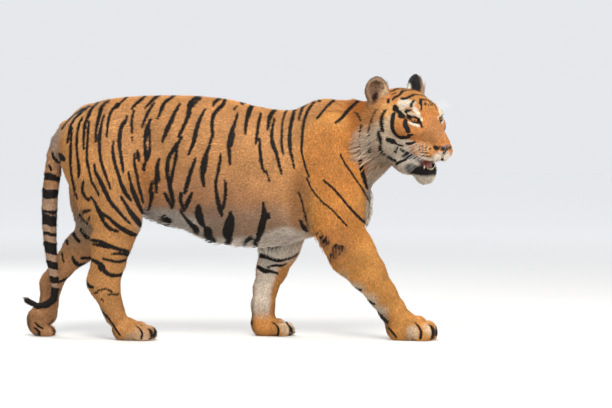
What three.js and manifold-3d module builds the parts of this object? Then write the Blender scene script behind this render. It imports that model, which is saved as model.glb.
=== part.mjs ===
// A life-size Bengal tiger, walking, as faceted solids in millimetres.
// X runs forward, Y to the animal's left and Z up; the soles stand on Z = 0.
// The body is described once, as soft masses and limbs that melt into each other.
// Each node is a closed mesh of that one form, drawn at its own fineness and parted by thin cuts.
import * as THREE from 'three';
import { mergeVertices } from 'three/addons/utils/BufferGeometryUtils.js';
import Module from 'manifold-3d';

const wasm = await Module();
wasm.setup();

// ---- driving dimensions ----
const cutGap = 0.4; // what parts one stretch of the body from the next
const seatGap = 0.5; // the room round a piece that is let into another
const trackRight = -104; // the line that the right paws tread
const trackLeft = 108;
const eyeRadius = 19;
const eyeSpread = 64; // each eye from the middle of the face
const jawOpening = 12; // degrees
const clawLength = 26;
const soleFlat = 9; // how far the floor flattens the round of each sole
const earHeight = 116;
const earWidth = 96;
const earWall = 9;
const toeSplay = 0.12; // degrees that a toe turns out for each millimetre it stands to the side
const knuckleIn = 0.92; // the knuckles stand this much closer together than the toes

const headPose = { at: [749, -165, 877], yaw: -49, pitch: 20, roll: 4 }; // at is midway between the eyes

// ---- vectors ----
const degrees = THREE.MathUtils.degToRad;
const clamp = THREE.MathUtils.clamp;
const vector = ([x, y, z]) => new THREE.Vector3(x, y, z);

// The turn that carries a local frame (forward, left, up) to the body's, in degrees.
function turned({ at = [0, 0, 0], yaw = 0, pitch = 0, roll = 0 }) {
  const turn = new THREE.Euler(degrees(roll), degrees(pitch), degrees(yaw), 'ZYX');
  return new THREE.Matrix4().makeRotationFromEuler(turn).setPosition(vector(at));
}

// ---- soft shapes: each is a function of a point that is negative inside ----

// An ellipsoid at a place, with three radii and a turn.
function mass(at, radii, turn = {}) {
  const toLocal = turned({ at, ...turn }).invert().elements;
  const [a, b, c] = radii;
  return (x, y, z) => {
    const lx = toLocal[0] * x + toLocal[4] * y + toLocal[8] * z + toLocal[12];
    const ly = toLocal[1] * x + toLocal[5] * y + toLocal[9] * z + toLocal[13];
    const lz = toLocal[2] * x + toLocal[6] * y + toLocal[10] * z + toLocal[14];
    const near = Math.hypot(lx / a, ly / b, lz / c);
    const slope = Math.hypot(lx / (a * a), ly / (b * b), lz / (c * c)) || 1;
    return (near * (near - 1)) / slope;
  };
}

// A limb through stations [x, y, z, depth radius, width radius]; width is measured along Y.
function limb(...stations) {
  const blendOver = 14;
  const pieces = stations.slice(1).map((end, i) => [stations[i], end]);
  return (x, y, z) => {
    let nearest = Infinity;
    for (const [a, b] of pieces) {
      const [dx, dy, dz] = [b[0] - a[0], b[1] - a[1], b[2] - a[2]];
      const along = (x - a[0]) * dx + (y - a[1]) * dy + (z - a[2]) * dz;
      const t = clamp(along / (dx * dx + dy * dy + dz * dz), 0, 1);
      const depth = a[3] + (b[3] - a[3]) * t;
      const width = a[4] + (b[4] - a[4]) * t;
      const across = y - a[1] - dy * t;
      const off = Math.hypot(x - a[0] - dx * t, z - a[2] - dz * t);
      const reach = Math.hypot(off / depth, across / width);
      nearest = meltedValue(nearest, (reach - 1) * Math.min(depth, width), blendOver);
    }
    return nearest;
  };
}

// A trunk along X through stations of {x, top, bottom, half}: its outline above, below and at the side.
function barrel(stations, fullness = 2.2) {
  const places = stations.map((s) => s.x);
  const [first, last] = [places[0], places.at(-1)];
  return (x, y, z) => {
    const at = clamp(x, first, last);
    const top = smoothTable(places, stations, 'top', at);
    const bottom = smoothTable(places, stations, 'bottom', at);
    const half = smoothTable(places, stations, 'half', at);
    const rise = (top - bottom) / 2;
    const up = Math.abs(z - (top + bottom) / 2) / rise;
    const side = Math.abs(y) / half;
    const round = (up ** fullness + side ** fullness) ** (1 / fullness);
    const ring = (round - 1) * Math.min(half, rise);
    const beyond = Math.abs(x - at);
    return beyond === 0 ? ring : ring > 0 ? Math.hypot(ring, beyond) : Math.max(ring, beyond);
  };
}

// A value between the stations on a smooth curve through them.
function smoothTable(places, stations, key, x) {
  let i = 0;
  while (i < places.length - 2 && x > places[i + 1]) i++;
  const value = (n) => stations[clamp(n, 0, stations.length - 1)][key];
  const slope = (n) => {
    const [low, high] = [Math.max(n - 1, 0), Math.min(n + 1, places.length - 1)];
    return (value(high) - value(low)) / (places[high] - places[low]);
  };
  const span = places[i + 1] - places[i];
  const t = (x - places[i]) / span;
  return (
    value(i) * (1 + 2 * t) * (1 - t) ** 2 +
    slope(i) * span * t * (1 - t) ** 2 +
    value(i + 1) * t * t * (3 - 2 * t) +
    slope(i + 1) * span * t * t * (t - 1)
  );
}

// The lower of two values, rounded where they cross, and the higher likewise.
function meltedValue(a, b, over) {
  const h = Math.max(over - Math.abs(a - b), 0) / over;
  return Math.min(a, b) - (h * h * over) / 4;
}
const carvedValue = (a, b, over) => -meltedValue(-a, b, over);

// Shapes melted together or carved out in turn, each as [shape, how far it blends].
function sculpture({ add = [], carve = [] }) {
  return (x, y, z) => {
    let value = Infinity;
    for (const [shape, over] of add) value = meltedValue(value, shape(x, y, z), over);
    for (const [shape, over] of carve) value = carvedValue(value, shape(x, y, z), over);
    return value;
  };
}

// A shape given in a local frame, such as the head's, placed in the body's.
function placed(shape, pose) {
  const m = turned(pose).invert().elements;
  return (x, y, z) =>
    shape(
      m[0] * x + m[4] * y + m[8] * z + m[12],
      m[1] * x + m[5] * y + m[9] * z + m[13],
      m[2] * x + m[6] * y + m[10] * z + m[14],
    );
}

// The same shapes on both sides of a middle plane Y = 0.
const bothSides = (shape) => (x, y, z) => shape(x, Math.abs(y), z);

// ---- trunk and neck ----
const trunkShape = barrel([
  { x: -690, top: 812, bottom: 706, half: 58 },
  { x: -640, top: 902, bottom: 640, half: 112 },
  { x: -545, top: 950, bottom: 560, half: 150 },
  { x: -440, top: 968, bottom: 512, half: 160 },
  { x: -335, top: 975, bottom: 476, half: 158 },
  { x: -215, top: 976, bottom: 432, half: 170 },
  { x: -110, top: 970, bottom: 390, half: 182 },
  { x: -10, top: 956, bottom: 374, half: 188 },
  { x: 90, top: 931, bottom: 368, half: 184 },
  { x: 200, top: 917, bottom: 376, half: 172 },
  { x: 300, top: 928, bottom: 398, half: 150 },
  { x: 390, top: 938, bottom: 424, half: 128 },
  { x: 470, top: 922, bottom: 460, half: 104 },
]);

const trunkMasses = [
  [mass([-585, 0, 740], [120, 108, 150], { pitch: -28 }), 50], // rump
  [mass([355, 0, 782], [110, 66, 156], { pitch: -8 }), 50], // withers
  [mass([452, 0, 560], [86, 92, 140], { pitch: -10 }), 50], // breast
];
const trunkHollows = [
  [mass([-300, -236, 560], [120, 66, 150], { pitch: 20 }), 60], // flank before each thigh
  [mass([-300, 236, 560], [120, 66, 150], { pitch: 20 }), 60],
  [mass([205, -262, 560], [60, 80, 200]), 50], // behind each shoulder
  [mass([205, 262, 560], [60, 80, 200]), 50],
];

const neckMasses = [
  [limb([420, 0, 754, 168, 118], [506, -10, 786, 152, 120], [592, -48, 830, 126, 112]), 70],
  [mass([496, -10, 700], [78, 84, 80], { pitch: 24 }), 50], // throat
  [mass([530, -22, 878], [130, 60, 52], { pitch: -4, yaw: -14 }), 50], // crest
];

// ---- legs: side is -1 on the right and 1 on the left ----
function foreLeg(side, { shoulder, elbow, forearm, wrist, heel }) {
  return [
    [mass([330, side * 112, 724], [92, 52, 190], { pitch: 24 }), 60], // shoulder blade
    [mass([shoulder, side * 126, 585], [118, 60, 150], { pitch: -20 }), 60], // upper arm
    [limb(elbow, ...forearm, wrist, heel), 46],
  ];
}

function hindLeg(side, { hip, thigh, knee, shank, hock, foot }) {
  return [
    [mass(hip, [128, 70, 160], { pitch: 6 }), 60],
    [mass(thigh.at, thigh.radii, { pitch: thigh.lean }), 60],
    [limb(knee, ...shank, hock), 40],
    [limb(hock, foot), 26],
  ];
}

const rightForeLeg = foreLeg(-1, {
  shoulder: 392,
  elbow: [406, -146, 450, 102, 60],
  forearm: [
    [462, -140, 344, 96, 57],
    [520, -130, 270, 76, 50],
    [580, -117, 184, 59, 45],
  ],
  wrist: [622, -108, 118, 54, 47],
  heel: [650, -105, 72, 50, 48],
});

const leftForeLeg = foreLeg(1, {
  shoulder: 318,
  elbow: [202, 128, 448, 96, 60],
  forearm: [
    [172, 130, 356, 82, 56],
    [142, 126, 268, 64, 50],
    [116, 118, 192, 50, 44],
  ],
  wrist: [106, 112, 126, 48, 45],
  heel: [108, 110, 66, 50, 46],
});

const rightHindLeg = hindLeg(-1, {
  hip: [-560, -88, 740],
  thigh: { at: [-512, -122, 606], radii: [128, 62, 178], lean: -20 },
  knee: [-448, -128, 470, 86, 56],
  shank: [
    [-488, -122, 388, 84, 52],
    [-500, -114, 312, 70, 44],
  ],
  hock: [-522, -106, 232, 60, 38],
  foot: [-474, -106, 96, 44, 44],
});

const leftHindLeg = hindLeg(1, {
  hip: [-566, 88, 736],
  thigh: { at: [-560, 120, 588], radii: [120, 60, 170], lean: 8 },
  knee: [-560, 126, 436, 82, 54],
  shank: [
    [-640, 122, 352, 66, 48],
    [-712, 116, 276, 48, 40],
  ],
  hock: [-752, 110, 214, 42, 36],
  foot: [-768, 108, 84, 42, 44],
});

// ---- paws, in a local frame: forward, left, up from the floor under the heel ----
const toeRow = [
  { across: -48, reach: 84, half: 22 },
  { across: -17, reach: 106, half: 23.5 },
  { across: 17, reach: 106, half: 23.5 },
  { across: 48, reach: 84, half: 22 },
];

function pawShape({ length, width, height }) {
  const toes = toeRow.flatMap(({ across, reach, half }) => [
    [
      mass([reach * length, across * width, 36 * height], [38 * length, half * width, 40 * height], {
        yaw: across * toeSplay,
      }),
      6,
    ],
    [
      mass(
        [(reach - 34) * length, across * width * knuckleIn, 54 * height],
        [36 * length, half * width, 38 * height],
      ),
      8,
    ],
  ]);
  return sculpture({
    add: [
      [mass([14 * length, 0, 52 * height], [64 * length, 54 * width, 58 * height], { pitch: 28 }), 20],
      [mass([44 * length, 0, 44 * height], [56 * length, 60 * width, 44 * height], { pitch: 12 }), 16],
      ...toes,
    ],
  });
}

// The toe-off foot: the sole is nearly upright and only the toes bear on the floor.
const standWidth = 0.88; // its toes stand this much closer than those of a flat foot
const standReach = (across) => 18 - Math.abs(across) * 0.25; // the outer toes stand further back
function toeStand() {
  const toes = toeRow.map(({ across, half }) => [
    mass([standReach(across), across * standWidth, 27], [34, half, 30], { yaw: across * toeSplay }),
    7,
  ]);
  return sculpture({
    add: [[mass([-24, 0, 66], [50, 54, 62], { pitch: -8 }), 24], ...toes],
  });
}

const pawSizes = {
  fore_right: { length: 1.08, width: 1, height: 1.18 },
  fore_left: { length: 0.94, width: 0.96, height: 0.88 },
  hind_right: { length: 0.95, width: 0.88, height: 0.94 },
};
const paws = {
  fore_right: { shape: pawShape(pawSizes.fore_right), at: [646, trackRight, -soleFlat], yaw: -3 },
  fore_left: { shape: pawShape(pawSizes.fore_left), at: [100, trackLeft, -soleFlat], yaw: 4 },
  hind_right: { shape: pawShape(pawSizes.hind_right), at: [-446, trackRight, -soleFlat], yaw: -3 },
  hind_left: { shape: toeStand(), at: [-780, trackLeft, -soleFlat], yaw: 3 },
};
const pawPose = ({ at, yaw }) => ({ at, yaw });

// ---- head, in its own frame: forward, left, up from midway between the eyes ----
const hinge = [-118, 0, -62]; // the jaw turns here

const skull = {
  add: [
    [mass([-112, 0, 4], [104, 92, 74], { pitch: -6 }), 30], // braincase
    [mass([-44, 0, 14], [70, 80, 46], { pitch: -26 }), 30], // forehead
    [mass([-6, 0, -46], [84, 86, 66], { pitch: 10 }), 30], // middle of the face
    [bothSides(mass([-50, 84, -44], [72, 40, 50], { yaw: 8 })), 30], // cheekbones
    [bothSides(mass([-14, 54, 20], [34, 30, 16], { yaw: 14 })), 18], // brows
    [bothSides(mass([60, 12, -40], [84, 28, 34], { pitch: 20 })), 24], // nose bridge
    [mass([80, 0, -88], [60, 62, 48], { pitch: 8 }), 24], // muzzle
    [bothSides(mass([88, 41, -103], [45, 36, 40])), 9], // whisker pads
    [bothSides(mass([118, 20, -116], [24, 22, 24])), 8], // front of the upper lip
    [bothSides(mass([34, 56, -106], [66, 22, 33])), 16], // lips along the mouth
    [bothSides(mass([-46, 70, -104], [62, 38, 58], { pitch: 10 })), 24], // jaw muscles
    [mass([114, 0, -60], [21, 28, 21], { pitch: 16 }), 10], // tip of the nose
    [bothSides(mass([-102, 104, -86], [56, 44, 80], { pitch: -10 })), 36], // ruff on each cheek
    [bothSides(mass([-38, 46, -184], [86, 43, 46], { pitch: 14 })), 34], // hair under the jaw's angle
    [bothSides(mass([-172, 90, 16], [42, 34, 42])), 30], // under each ear
    [mass([-180, 0, -44], [80, 96, 92], { pitch: -20 }), 50], // into the neck
    [mass([-92, 0, -118], [86, 64, 56], { pitch: 14 }), 50], // throat
  ],
  carve: [
    [bothSides(mass([22, 67, 0], [13, 19, 11])), 6], // eye sockets
    [mass([64, 0, -154], [88, 48, 24], { pitch: 8 }), 8], // roof of the mouth
  ],
};

const jawPose = { at: hinge, pitch: jawOpening };
const jaw = {
  add: [
    [bothSides(mass([108, 44, -88], [114, 26, 36], { yaw: -10 })), 14], // each side of the jaw
    [mass([206, 0, -106], [38, 38, 45]), 22], // chin
    [mass([120, 0, -108], [110, 50, 30], { pitch: 4 }), 26], // underside
  ],
  carve: [[mass([152, 0, -60], [84, 32, 30]), 8]],
};

const noseShape = placed(mass([128, 0, -73], [19, 30, 19], { pitch: 22 }), headPose);
const tongue = limb([60, 0, -72, 13, 20], [150, 0, -74, 14, 21], [200, 0, -68, 10, 17], [220, 0, -68, 8, 13]);
const tongueShape = placed(placed(tongue, jawPose), headPose);

const headShape = placed(sculpture(skull), headPose);
const jawShape = placed(placed(sculpture(jaw), jawPose), headPose);

const bodyShape = sculpture({
  add: [
    [trunkShape, 1],
    ...trunkMasses,
    ...neckMasses,
    ...rightForeLeg,
    ...leftForeLeg,
    ...rightHindLeg,
    ...leftHindLeg,
    ...Object.values(paws).map((paw) => [placed(paw.shape, pawPose(paw)), 18]),
    [headShape, 40],
  ],
  carve: trunkHollows,
});

// ---- meshes ----
const borderOut = 0.3; // how far outside, in cells, the border of a box is taken to be
const borderKept = 1.5; // points this many cells from the border stay where they are
const settling = { farthest: 0.35, probe: 0.5, passes: 3, leastSlope: 0.05, steepest: 0.5 };

// A closed mesh of a shape inside a box, with about one vertex to each cell, set onto the surface.
function meshOf(shape, { low, high, cell }) {
  const fine = Math.min(...cell);
  const counts = low.map((v, i) => Math.ceil((high[i] - v) / cell[i]) + 1);
  const [nx, ny, nz] = counts;
  const index = (i, j, k) => (k * ny + j) * nx + i;
  const values = new Float64Array(nx * ny * nz);
  for (let k = 0; k < nz; k++)
    for (let j = 0; j < ny; j++)
      for (let i = 0; i < nx; i++) {
        const border = i * j * k === 0 || i === nx - 1 || j === ny - 1 || k === nz - 1;
        const inside = shape(low[0] + i * cell[0], low[1] + j * cell[1], low[2] + k * cell[2]);
        values[index(i, j, k)] = border ? Math.max(inside, fine * borderOut) : inside;
      }

  const corners = [0, 1, 2, 3, 4, 5, 6, 7].map((c) => [c & 1, (c >> 1) & 1, c >> 2]);
  const edges = corners.flatMap((a, m) =>
    corners.slice(m + 1).flatMap((b) => (a.filter((v, i) => v !== b[i]).length === 1 ? [[a, b]] : [])),
  );
  const points = [];
  const vertexOf = new Map();
  for (let k = 0; k < nz - 1; k++)
    for (let j = 0; j < ny - 1; j++)
      for (let i = 0; i < nx - 1; i++) {
        const sum = [0, 0, 0];
        let crossings = 0;
        for (const [a, b] of edges) {
          const va = values[index(i + a[0], j + a[1], k + a[2])];
          const vb = values[index(i + b[0], j + b[1], k + b[2])];
          if (va < 0 === vb < 0) continue;
          const t = va / (va - vb);
          for (let n = 0; n < 3; n++) sum[n] += a[n] + (b[n] - a[n]) * t;
          crossings++;
        }
        if (!crossings) continue;
        vertexOf.set(index(i, j, k), points.length);
        const cellAt = [i, j, k];
        points.push(cellAt.map((c, n) => low[n] + (c + sum[n] / crossings) * cell[n]));
      }
  points.forEach((p) => settle(p, shape, { low, high, cell }));

  const faces = [];
  const steps = [
    [1, 0, 0],
    [0, 1, 0],
    [0, 0, 1],
  ];
  for (let k = 0; k < nz - 1; k++)
    for (let j = 0; j < ny - 1; j++)
      for (let i = 0; i < nx - 1; i++)
        steps.forEach((step, axis) => {
          if ([i, j, k].some((n, other) => n === 0 && other !== axis)) return;
          const here = values[index(i, j, k)];
          const next = values[index(i + step[0], j + step[1], k + step[2])];
          if (here < 0 === next < 0) return;
          const u = steps[(axis + 1) % 3];
          const v = steps[(axis + 2) % 3];
          const around = [
            [0, 0],
            [1, 0],
            [1, 1],
            [0, 1],
          ].map(([a, b]) =>
            vertexOf.get(index(i - a * u[0] - b * v[0], j - a * u[1] - b * v[1], k - a * u[2] - b * v[2])),
          );
          if (here < 0) around.reverse();
          const [p, q, r, s] = around;
          const short = distance(points[p], points[r]) < distance(points[q], points[s]);
          faces.push(...(short ? [p, r, q, p, s, r] : [p, s, q, q, s, r]));
        });
  return geometryOf(points, faces);
}

const distance = (a, b) => Math.hypot(a[0] - b[0], a[1] - b[1], a[2] - b[2]);

// Moves a point onto the surface along the slope of the shape, unless it lies on the box's own side.
function settle(p, shape, { low, high, cell }) {
  if (p.some((v, n) => v < low[n] + cell[n] * borderKept || v > high[n] - cell[n] * borderKept)) return;
  const farthest = Math.min(...cell) * settling.farthest;
  const { probe } = settling;
  for (let pass = 0; pass < settling.passes; pass++) {
    const value = shape(...p);
    const slope = [0, 1, 2].map((n) => {
      const moved = [...p];
      moved[n] += probe;
      return (shape(...moved) - value) / probe;
    });
    const steep = slope[0] ** 2 + slope[1] ** 2 + slope[2] ** 2;
    if (steep < settling.leastSlope) return;
    const step = clamp(value, -farthest, farthest) / Math.max(steep, settling.steepest);
    slope.forEach((s, n) => (p[n] -= s * step));
  }
}

function geometryOf(points, faces) {
  const geometry = new THREE.BufferGeometry();
  geometry.setAttribute('position', new THREE.Float32BufferAttribute(points.flat(), 3));
  geometry.setIndex(faces);
  return geometry;
}

// A three.js geometry as a solid for cutting and joining, and a solid back as a geometry.
function solidOf(geometry, matrix) {
  const bare = geometry.clone();
  bare.deleteAttribute('normal');
  bare.deleteAttribute('uv');
  if (matrix) bare.applyMatrix4(matrix);
  const merged = mergeVertices(bare, 1e-3);
  return new wasm.Manifold(
    new wasm.Mesh({
      numProp: 3,
      vertProperties: new Float32Array(merged.attributes.position.array),
      triVerts: new Uint32Array(merged.index.array),
    }),
  );
}

function geometryFrom(solid) {
  const { numProp, numVert, vertProperties, triVerts } = solid.getMesh();
  const positions = new Float32Array(numVert * 3);
  for (let i = 0; i < numVert; i++)
    positions.set(vertProperties.subarray(i * numProp, i * numProp + 3), i * 3);
  const geometry = new THREE.BufferGeometry();
  geometry.setAttribute('position', new THREE.BufferAttribute(positions, 3));
  geometry.setIndex(new THREE.BufferAttribute(new Uint32Array(triVerts), 1));
  return geometry;
}

// Corners of two sheets that meet at one place are each drawn in a little, so that every face has its own.
function unpinched(geometry) {
  geometry.computeVertexNormals();
  const { position, normal } = geometry.attributes;
  const drawnIn = -0.03;
  const places = new Map();
  for (let i = 0; i < position.count; i++) {
    const key = [position.getX(i), position.getY(i), position.getZ(i)].map((v) => v.toFixed(3)).join();
    places.set(key, [...(places.get(key) ?? []), i]);
  }
  for (const shared of places.values())
    if (shared.length > 1)
      for (const i of shared)
        position.setXYZ(
          i,
          position.getX(i) + normal.getX(i) * drawnIn,
          position.getY(i) + normal.getY(i) * drawnIn,
          position.getZ(i) + normal.getZ(i) * drawnIn,
        );
  geometry.deleteAttribute('normal');
  return geometry;
}

// The solid swollen by the seat's gap, to cut a hollow that it fits with room round it.
function swollen(solid) {
  const grown = geometryFrom(solid);
  grown.computeVertexNormals();
  const { position, normal } = grown.attributes;
  for (let i = 0; i < position.count; i++)
    position.setXYZ(
      i,
      position.getX(i) + normal.getX(i) * seatGap,
      position.getY(i) + normal.getY(i) * seatGap,
      position.getZ(i) + normal.getZ(i) * seatGap,
    );
  return solidOf(grown);
}

// The biggest body of a solid, which drops crumbs that a cut leaves.
function biggest(solid) {
  const bodies = solid.decompose();
  return bodies.reduce((a, b) => (b.volume() > a.volume() ? b : a));
}

// ---- where the body is parted ----
// Each cut is a plane with a point on it and a turn; its local X is the plane's normal.
const wide = 1600;
const cuts = {
  neck: { at: [452, 0, 760], pitch: -20 },
  head: { at: [514, -82, 850], yaw: -47 },
  armRight: { at: [430, -150, 412], pitch: 84 },
  armLeft: { at: [196, 150, 362], pitch: 90 },
  wristRight: { at: [620, -108, 122], pitch: 56 },
  wristLeft: { at: [104, 112, 112], pitch: 90 },
  thighRight: { at: [-400, -150, 468], pitch: 126 },
  thighLeft: { at: [-400, 150, 468], pitch: 126 },
  kneeRight: { at: [-486, -122, 386], pitch: 100 },
  kneeLeft: { at: [-622, 122, 372], pitch: 130 },
  hockRight: { at: [-524, -106, 206], pitch: 74 },
  hockLeft: { at: [-754, 110, 196], pitch: 94 },
};
const middle = { at: [0, 0, 0], yaw: 90 };

// The half of space on one side of a cut, from a little off it: 1 is ahead along its normal, -1 behind.
function half(cut, side, from = cutGap / 2) {
  const shift = side * (wide / 2 + from);
  const box = new THREE.BoxGeometry(wide, wide * 2, wide * 2).translate(shift, 0, 0);
  return solidOf(box, turned(cut));
}
const aboveFloor = solidOf(new THREE.BoxGeometry(wide, wide, wide), turned({ at: [0, 0, wide / 2] }));

// Draws a stretch of the body in a box and keeps what lies within the given solids.
function stretch(box, ...within) {
  const whole = solidOf(meshOf(bodyShape, box));
  return biggest(within.reduce((solid, limit) => solid.intersect(limit), whole));
}

// ---- small hard pieces ----

// A tapered horn along its own X, bent towards -Z: a tooth or a claw.
function horn({ length, radius, bend, sides = 6, rings = 3 }) {
  const points = [];
  for (let r = 0; r < rings; r++) {
    const t = r / rings;
    const size = radius * (1 - t) ** 0.7;
    for (let s = 0; s < sides; s++) {
      const turn = (2 * Math.PI * s) / sides;
      points.push([length * t, size * 0.8 * Math.cos(turn), size * Math.sin(turn) - bend * t * t]);
    }
  }
  const tip = points.push([length, 0, -bend]) - 1;
  const base = points.push([0, 0, 0]) - 1;
  const faces = [];
  for (let s = 0; s < sides; s++) {
    const next = (s + 1) % sides;
    for (let r = 0; r < rings - 1; r++) {
      const [a, b] = [r * sides + s, r * sides + next];
      faces.push(a, b, b + sides, a, b + sides, a + sides);
    }
    faces.push((rings - 1) * sides + s, (rings - 1) * sides + next, tip);
    faces.push(next, s, base);
  }
  return geometryOf(points, faces);
}

// A tube through rings [x, y, z, radius], closed at both ends.
function tube(stations, sides) {
  const points = [];
  stations.forEach(([x, y, z, radius], i) => {
    const before = stations[Math.max(i - 1, 0)];
    const after = stations[Math.min(i + 1, stations.length - 1)];
    const along = vector(after).sub(vector(before)).normalize();
    const side = new THREE.Vector3(0, 1, 0);
    const over = side.clone().cross(along).normalize();
    for (let s = 0; s < sides; s++) {
      const turn = (2 * Math.PI * s) / sides;
      const p = new THREE.Vector3(x, y, z)
        .addScaledVector(side, radius * Math.cos(turn))
        .addScaledVector(over, -radius * Math.sin(turn));
      points.push(p.toArray());
    }
  });
  const first = points.push(stations[0].slice(0, 3)) - 1;
  const last = points.push(stations.at(-1).slice(0, 3)) - 1;
  const faces = [];
  const end = (stations.length - 1) * sides;
  for (let s = 0; s < sides; s++) {
    const next = (s + 1) % sides;
    for (let r = 0; r < stations.length - 1; r++) {
      const [a, b] = [r * sides + s, r * sides + next];
      faces.push(a, b, b + sides, a, b + sides, a + sides);
    }
    faces.push(next, s, first, end + s, end + next, last);
  }
  return geometryOf(points, faces);
}

// ---- stretches of the body ----
const [rightSide, leftSide] = [half(middle, -1), half(middle, 1)];
const rightShoulder = solidOf(new THREE.BoxGeometry(600, 400, 600), turned({ at: [570, -200, 300] }));
const boxes = {
  trunk: { low: [-790, -260, 300], high: [660, 260, 1060], cell: [86, 60, 62] },
  neck: { low: [300, -330, 500], high: [860, 260, 1080], cell: [50, 48, 48] },
  head: { low: [440, -430, 540], high: [960, 230, 1080], cell: [30, 30, 30] },
  jaw: { low: [540, -420, 560], high: [900, 60, 860], cell: [28, 28, 28] },
  forearmRight: { low: [238, -262, 66], high: [760, 0, 620], cell: [44, 40, 56] },
  forearmLeft: { low: [0, 0, 60], high: [380, 270, 520], cell: [40, 36, 52] },
  forepawRight: { low: [560, -210, -30], high: [830, 0, 240], cell: [34, 23, 30] },
  forepawLeft: { low: [0, 0, -30], high: [270, 210, 240], cell: [34, 23, 30] },
  thighRight: { low: [-800, -240, 300], high: [-280, 40, 860], cell: [50, 44, 54] },
  thighLeft: { low: [-800, -40, 280], high: [-280, 240, 860], cell: [50, 44, 54] },
  shankRight: { low: [-680, -220, 140], high: [-340, 0, 480], cell: [36, 32, 42] },
  shankLeft: { low: [-880, 0, 140], high: [-500, 220, 480], cell: [36, 32, 40] },
  hindpawRight: { low: [-620, -210, -30], high: [-260, 0, 300], cell: [36, 23, 36] },
  hindpawLeft: { low: [-900, 0, -30], high: [-680, 210, 280], cell: [28, 22, 32] },
};

const flesh = {
  trunk: stretch(
    boxes.trunk,
    half(cuts.neck, -1),
    half(cuts.armLeft, -1),
    half(cuts.thighRight, -1),
  ).subtract(half(cuts.armRight, 1, -cutGap / 2).intersect(rightShoulder)),
  neck: stretch(boxes.neck, half(cuts.neck, 1), half(cuts.head, -1)),
  head: stretch(boxes.head, half(cuts.neck, 1), half(cuts.head, 1)),
  forearm_right: stretch(boxes.forearmRight, half(cuts.armRight, 1), half(cuts.wristRight, -1), rightSide),
  forearm_left: stretch(boxes.forearmLeft, half(cuts.armLeft, 1), half(cuts.wristLeft, -1), leftSide),
  forepaw_right: stretch(boxes.forepawRight, half(cuts.wristRight, 1), aboveFloor),
  forepaw_left: stretch(boxes.forepawLeft, half(cuts.wristLeft, 1), aboveFloor),
  thigh_right: stretch(boxes.thighRight, half(cuts.thighRight, 1), half(cuts.kneeRight, -1), rightSide),
  thigh_left: stretch(boxes.thighLeft, half(cuts.thighLeft, 1), half(cuts.kneeLeft, -1), leftSide),
  shank_right: stretch(boxes.shankRight, half(cuts.kneeRight, 1), half(cuts.hockRight, -1), rightSide),
  shank_left: stretch(boxes.shankLeft, half(cuts.kneeLeft, 1), half(cuts.hockLeft, -1), leftSide),
  hindpaw_right: stretch(boxes.hindpawRight, half(cuts.hockRight, 1), aboveFloor),
  hindpaw_left: stretch(boxes.hindpawLeft, half(cuts.hockLeft, 1), aboveFloor),
};

// ---- head pieces, in the head's frame unless noted ----
const headTurn = turned(headPose);
const jawTurn = headTurn.clone().multiply(turned(jawPose));
const inFrame = (frame, turn) => frame.clone().multiply(turned(turn));
const sideName = (side) => (side < 0 ? 'right' : 'left');

// An ear is a cup: an outer shell with a smaller one taken out of its front.
const earTurns = { right: { yaw: -50, roll: 8, pitch: -6 }, left: { yaw: 74, roll: -6, pitch: -6 } };
const earAt = { forward: -192, side: 104, up: 50 };
const earDepth = 30;
const earThinning = 0.2; // the cup's back is this share as thick as its rim
function earSolid(side) {
  const frame = inFrame(headTurn, {
    at: [earAt.forward, side * earAt.side, earAt.up],
    ...earTurns[sideName(side)],
  });
  const [deep, broad, tall] = [earDepth, earWidth / 2, earHeight / 2];
  const shell = (inset, forward) =>
    solidOf(
      new THREE.SphereGeometry(1, 10, 7)
        .rotateX(Math.PI / 2)
        .scale(deep - inset * earThinning, broad - inset, tall - inset)
        .translate(forward, 0, 0),
      frame,
    );
  return shell(0, 0).subtract(shell(earWall, earWall + 6));
}

const eyeSolid = (side) =>
  solidOf(new THREE.IcosahedronGeometry(eyeRadius, 1), inFrame(headTurn, { at: [0, side * eyeSpread, 0] }));

const fangs = [
  { frame: headTurn, at: [108, 27, -104], length: 38, radius: 8, pitch: 96, bend: 4 },
  { frame: jawTurn, at: [214, 28, -82], length: 32, radius: 7, pitch: -94, bend: -3 },
];
const fangSolid = ({ frame, at, length, radius, pitch, bend }, side) =>
  solidOf(
    horn({ length, radius, bend }),
    inFrame(frame, { at: [at[0], side * at[1], at[2]], pitch }),
  );

// ---- claws, one to each toe ----
const clawHeight = 34;
const clawOut = { flat: 16, right: 14, standing: 11 }; // how far past the toe's middle a claw starts
function clawSolids(paw, { reach, width }) {
  return toeRow.map((toe) =>
    solidOf(
      horn({ length: clawLength, radius: 6, bend: 6, sides: 5, rings: 2 }),
      inFrame(turned({ at: paw.at, yaw: paw.yaw }), {
        at: [reach(toe), toe.across * width, clawHeight],
        pitch: 14,
        yaw: toe.across * toeSplay,
      }),
    ),
  );
}
const flatClaws = (name, out) => {
  const { length, width } = pawSizes[name];
  return clawSolids(paws[name], { reach: (toe) => (toe.reach + out) * length, width });
};
const claws = {
  fore_right: flatClaws('fore_right', clawOut.right),
  fore_left: flatClaws('fore_left', clawOut.flat),
  hind_right: flatClaws('hind_right', clawOut.flat),
  hind_left: clawSolids(paws.hind_left, {
    reach: (toe) => standReach(toe.across) + clawOut.standing,
    width: standWidth,
  }),
};

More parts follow.
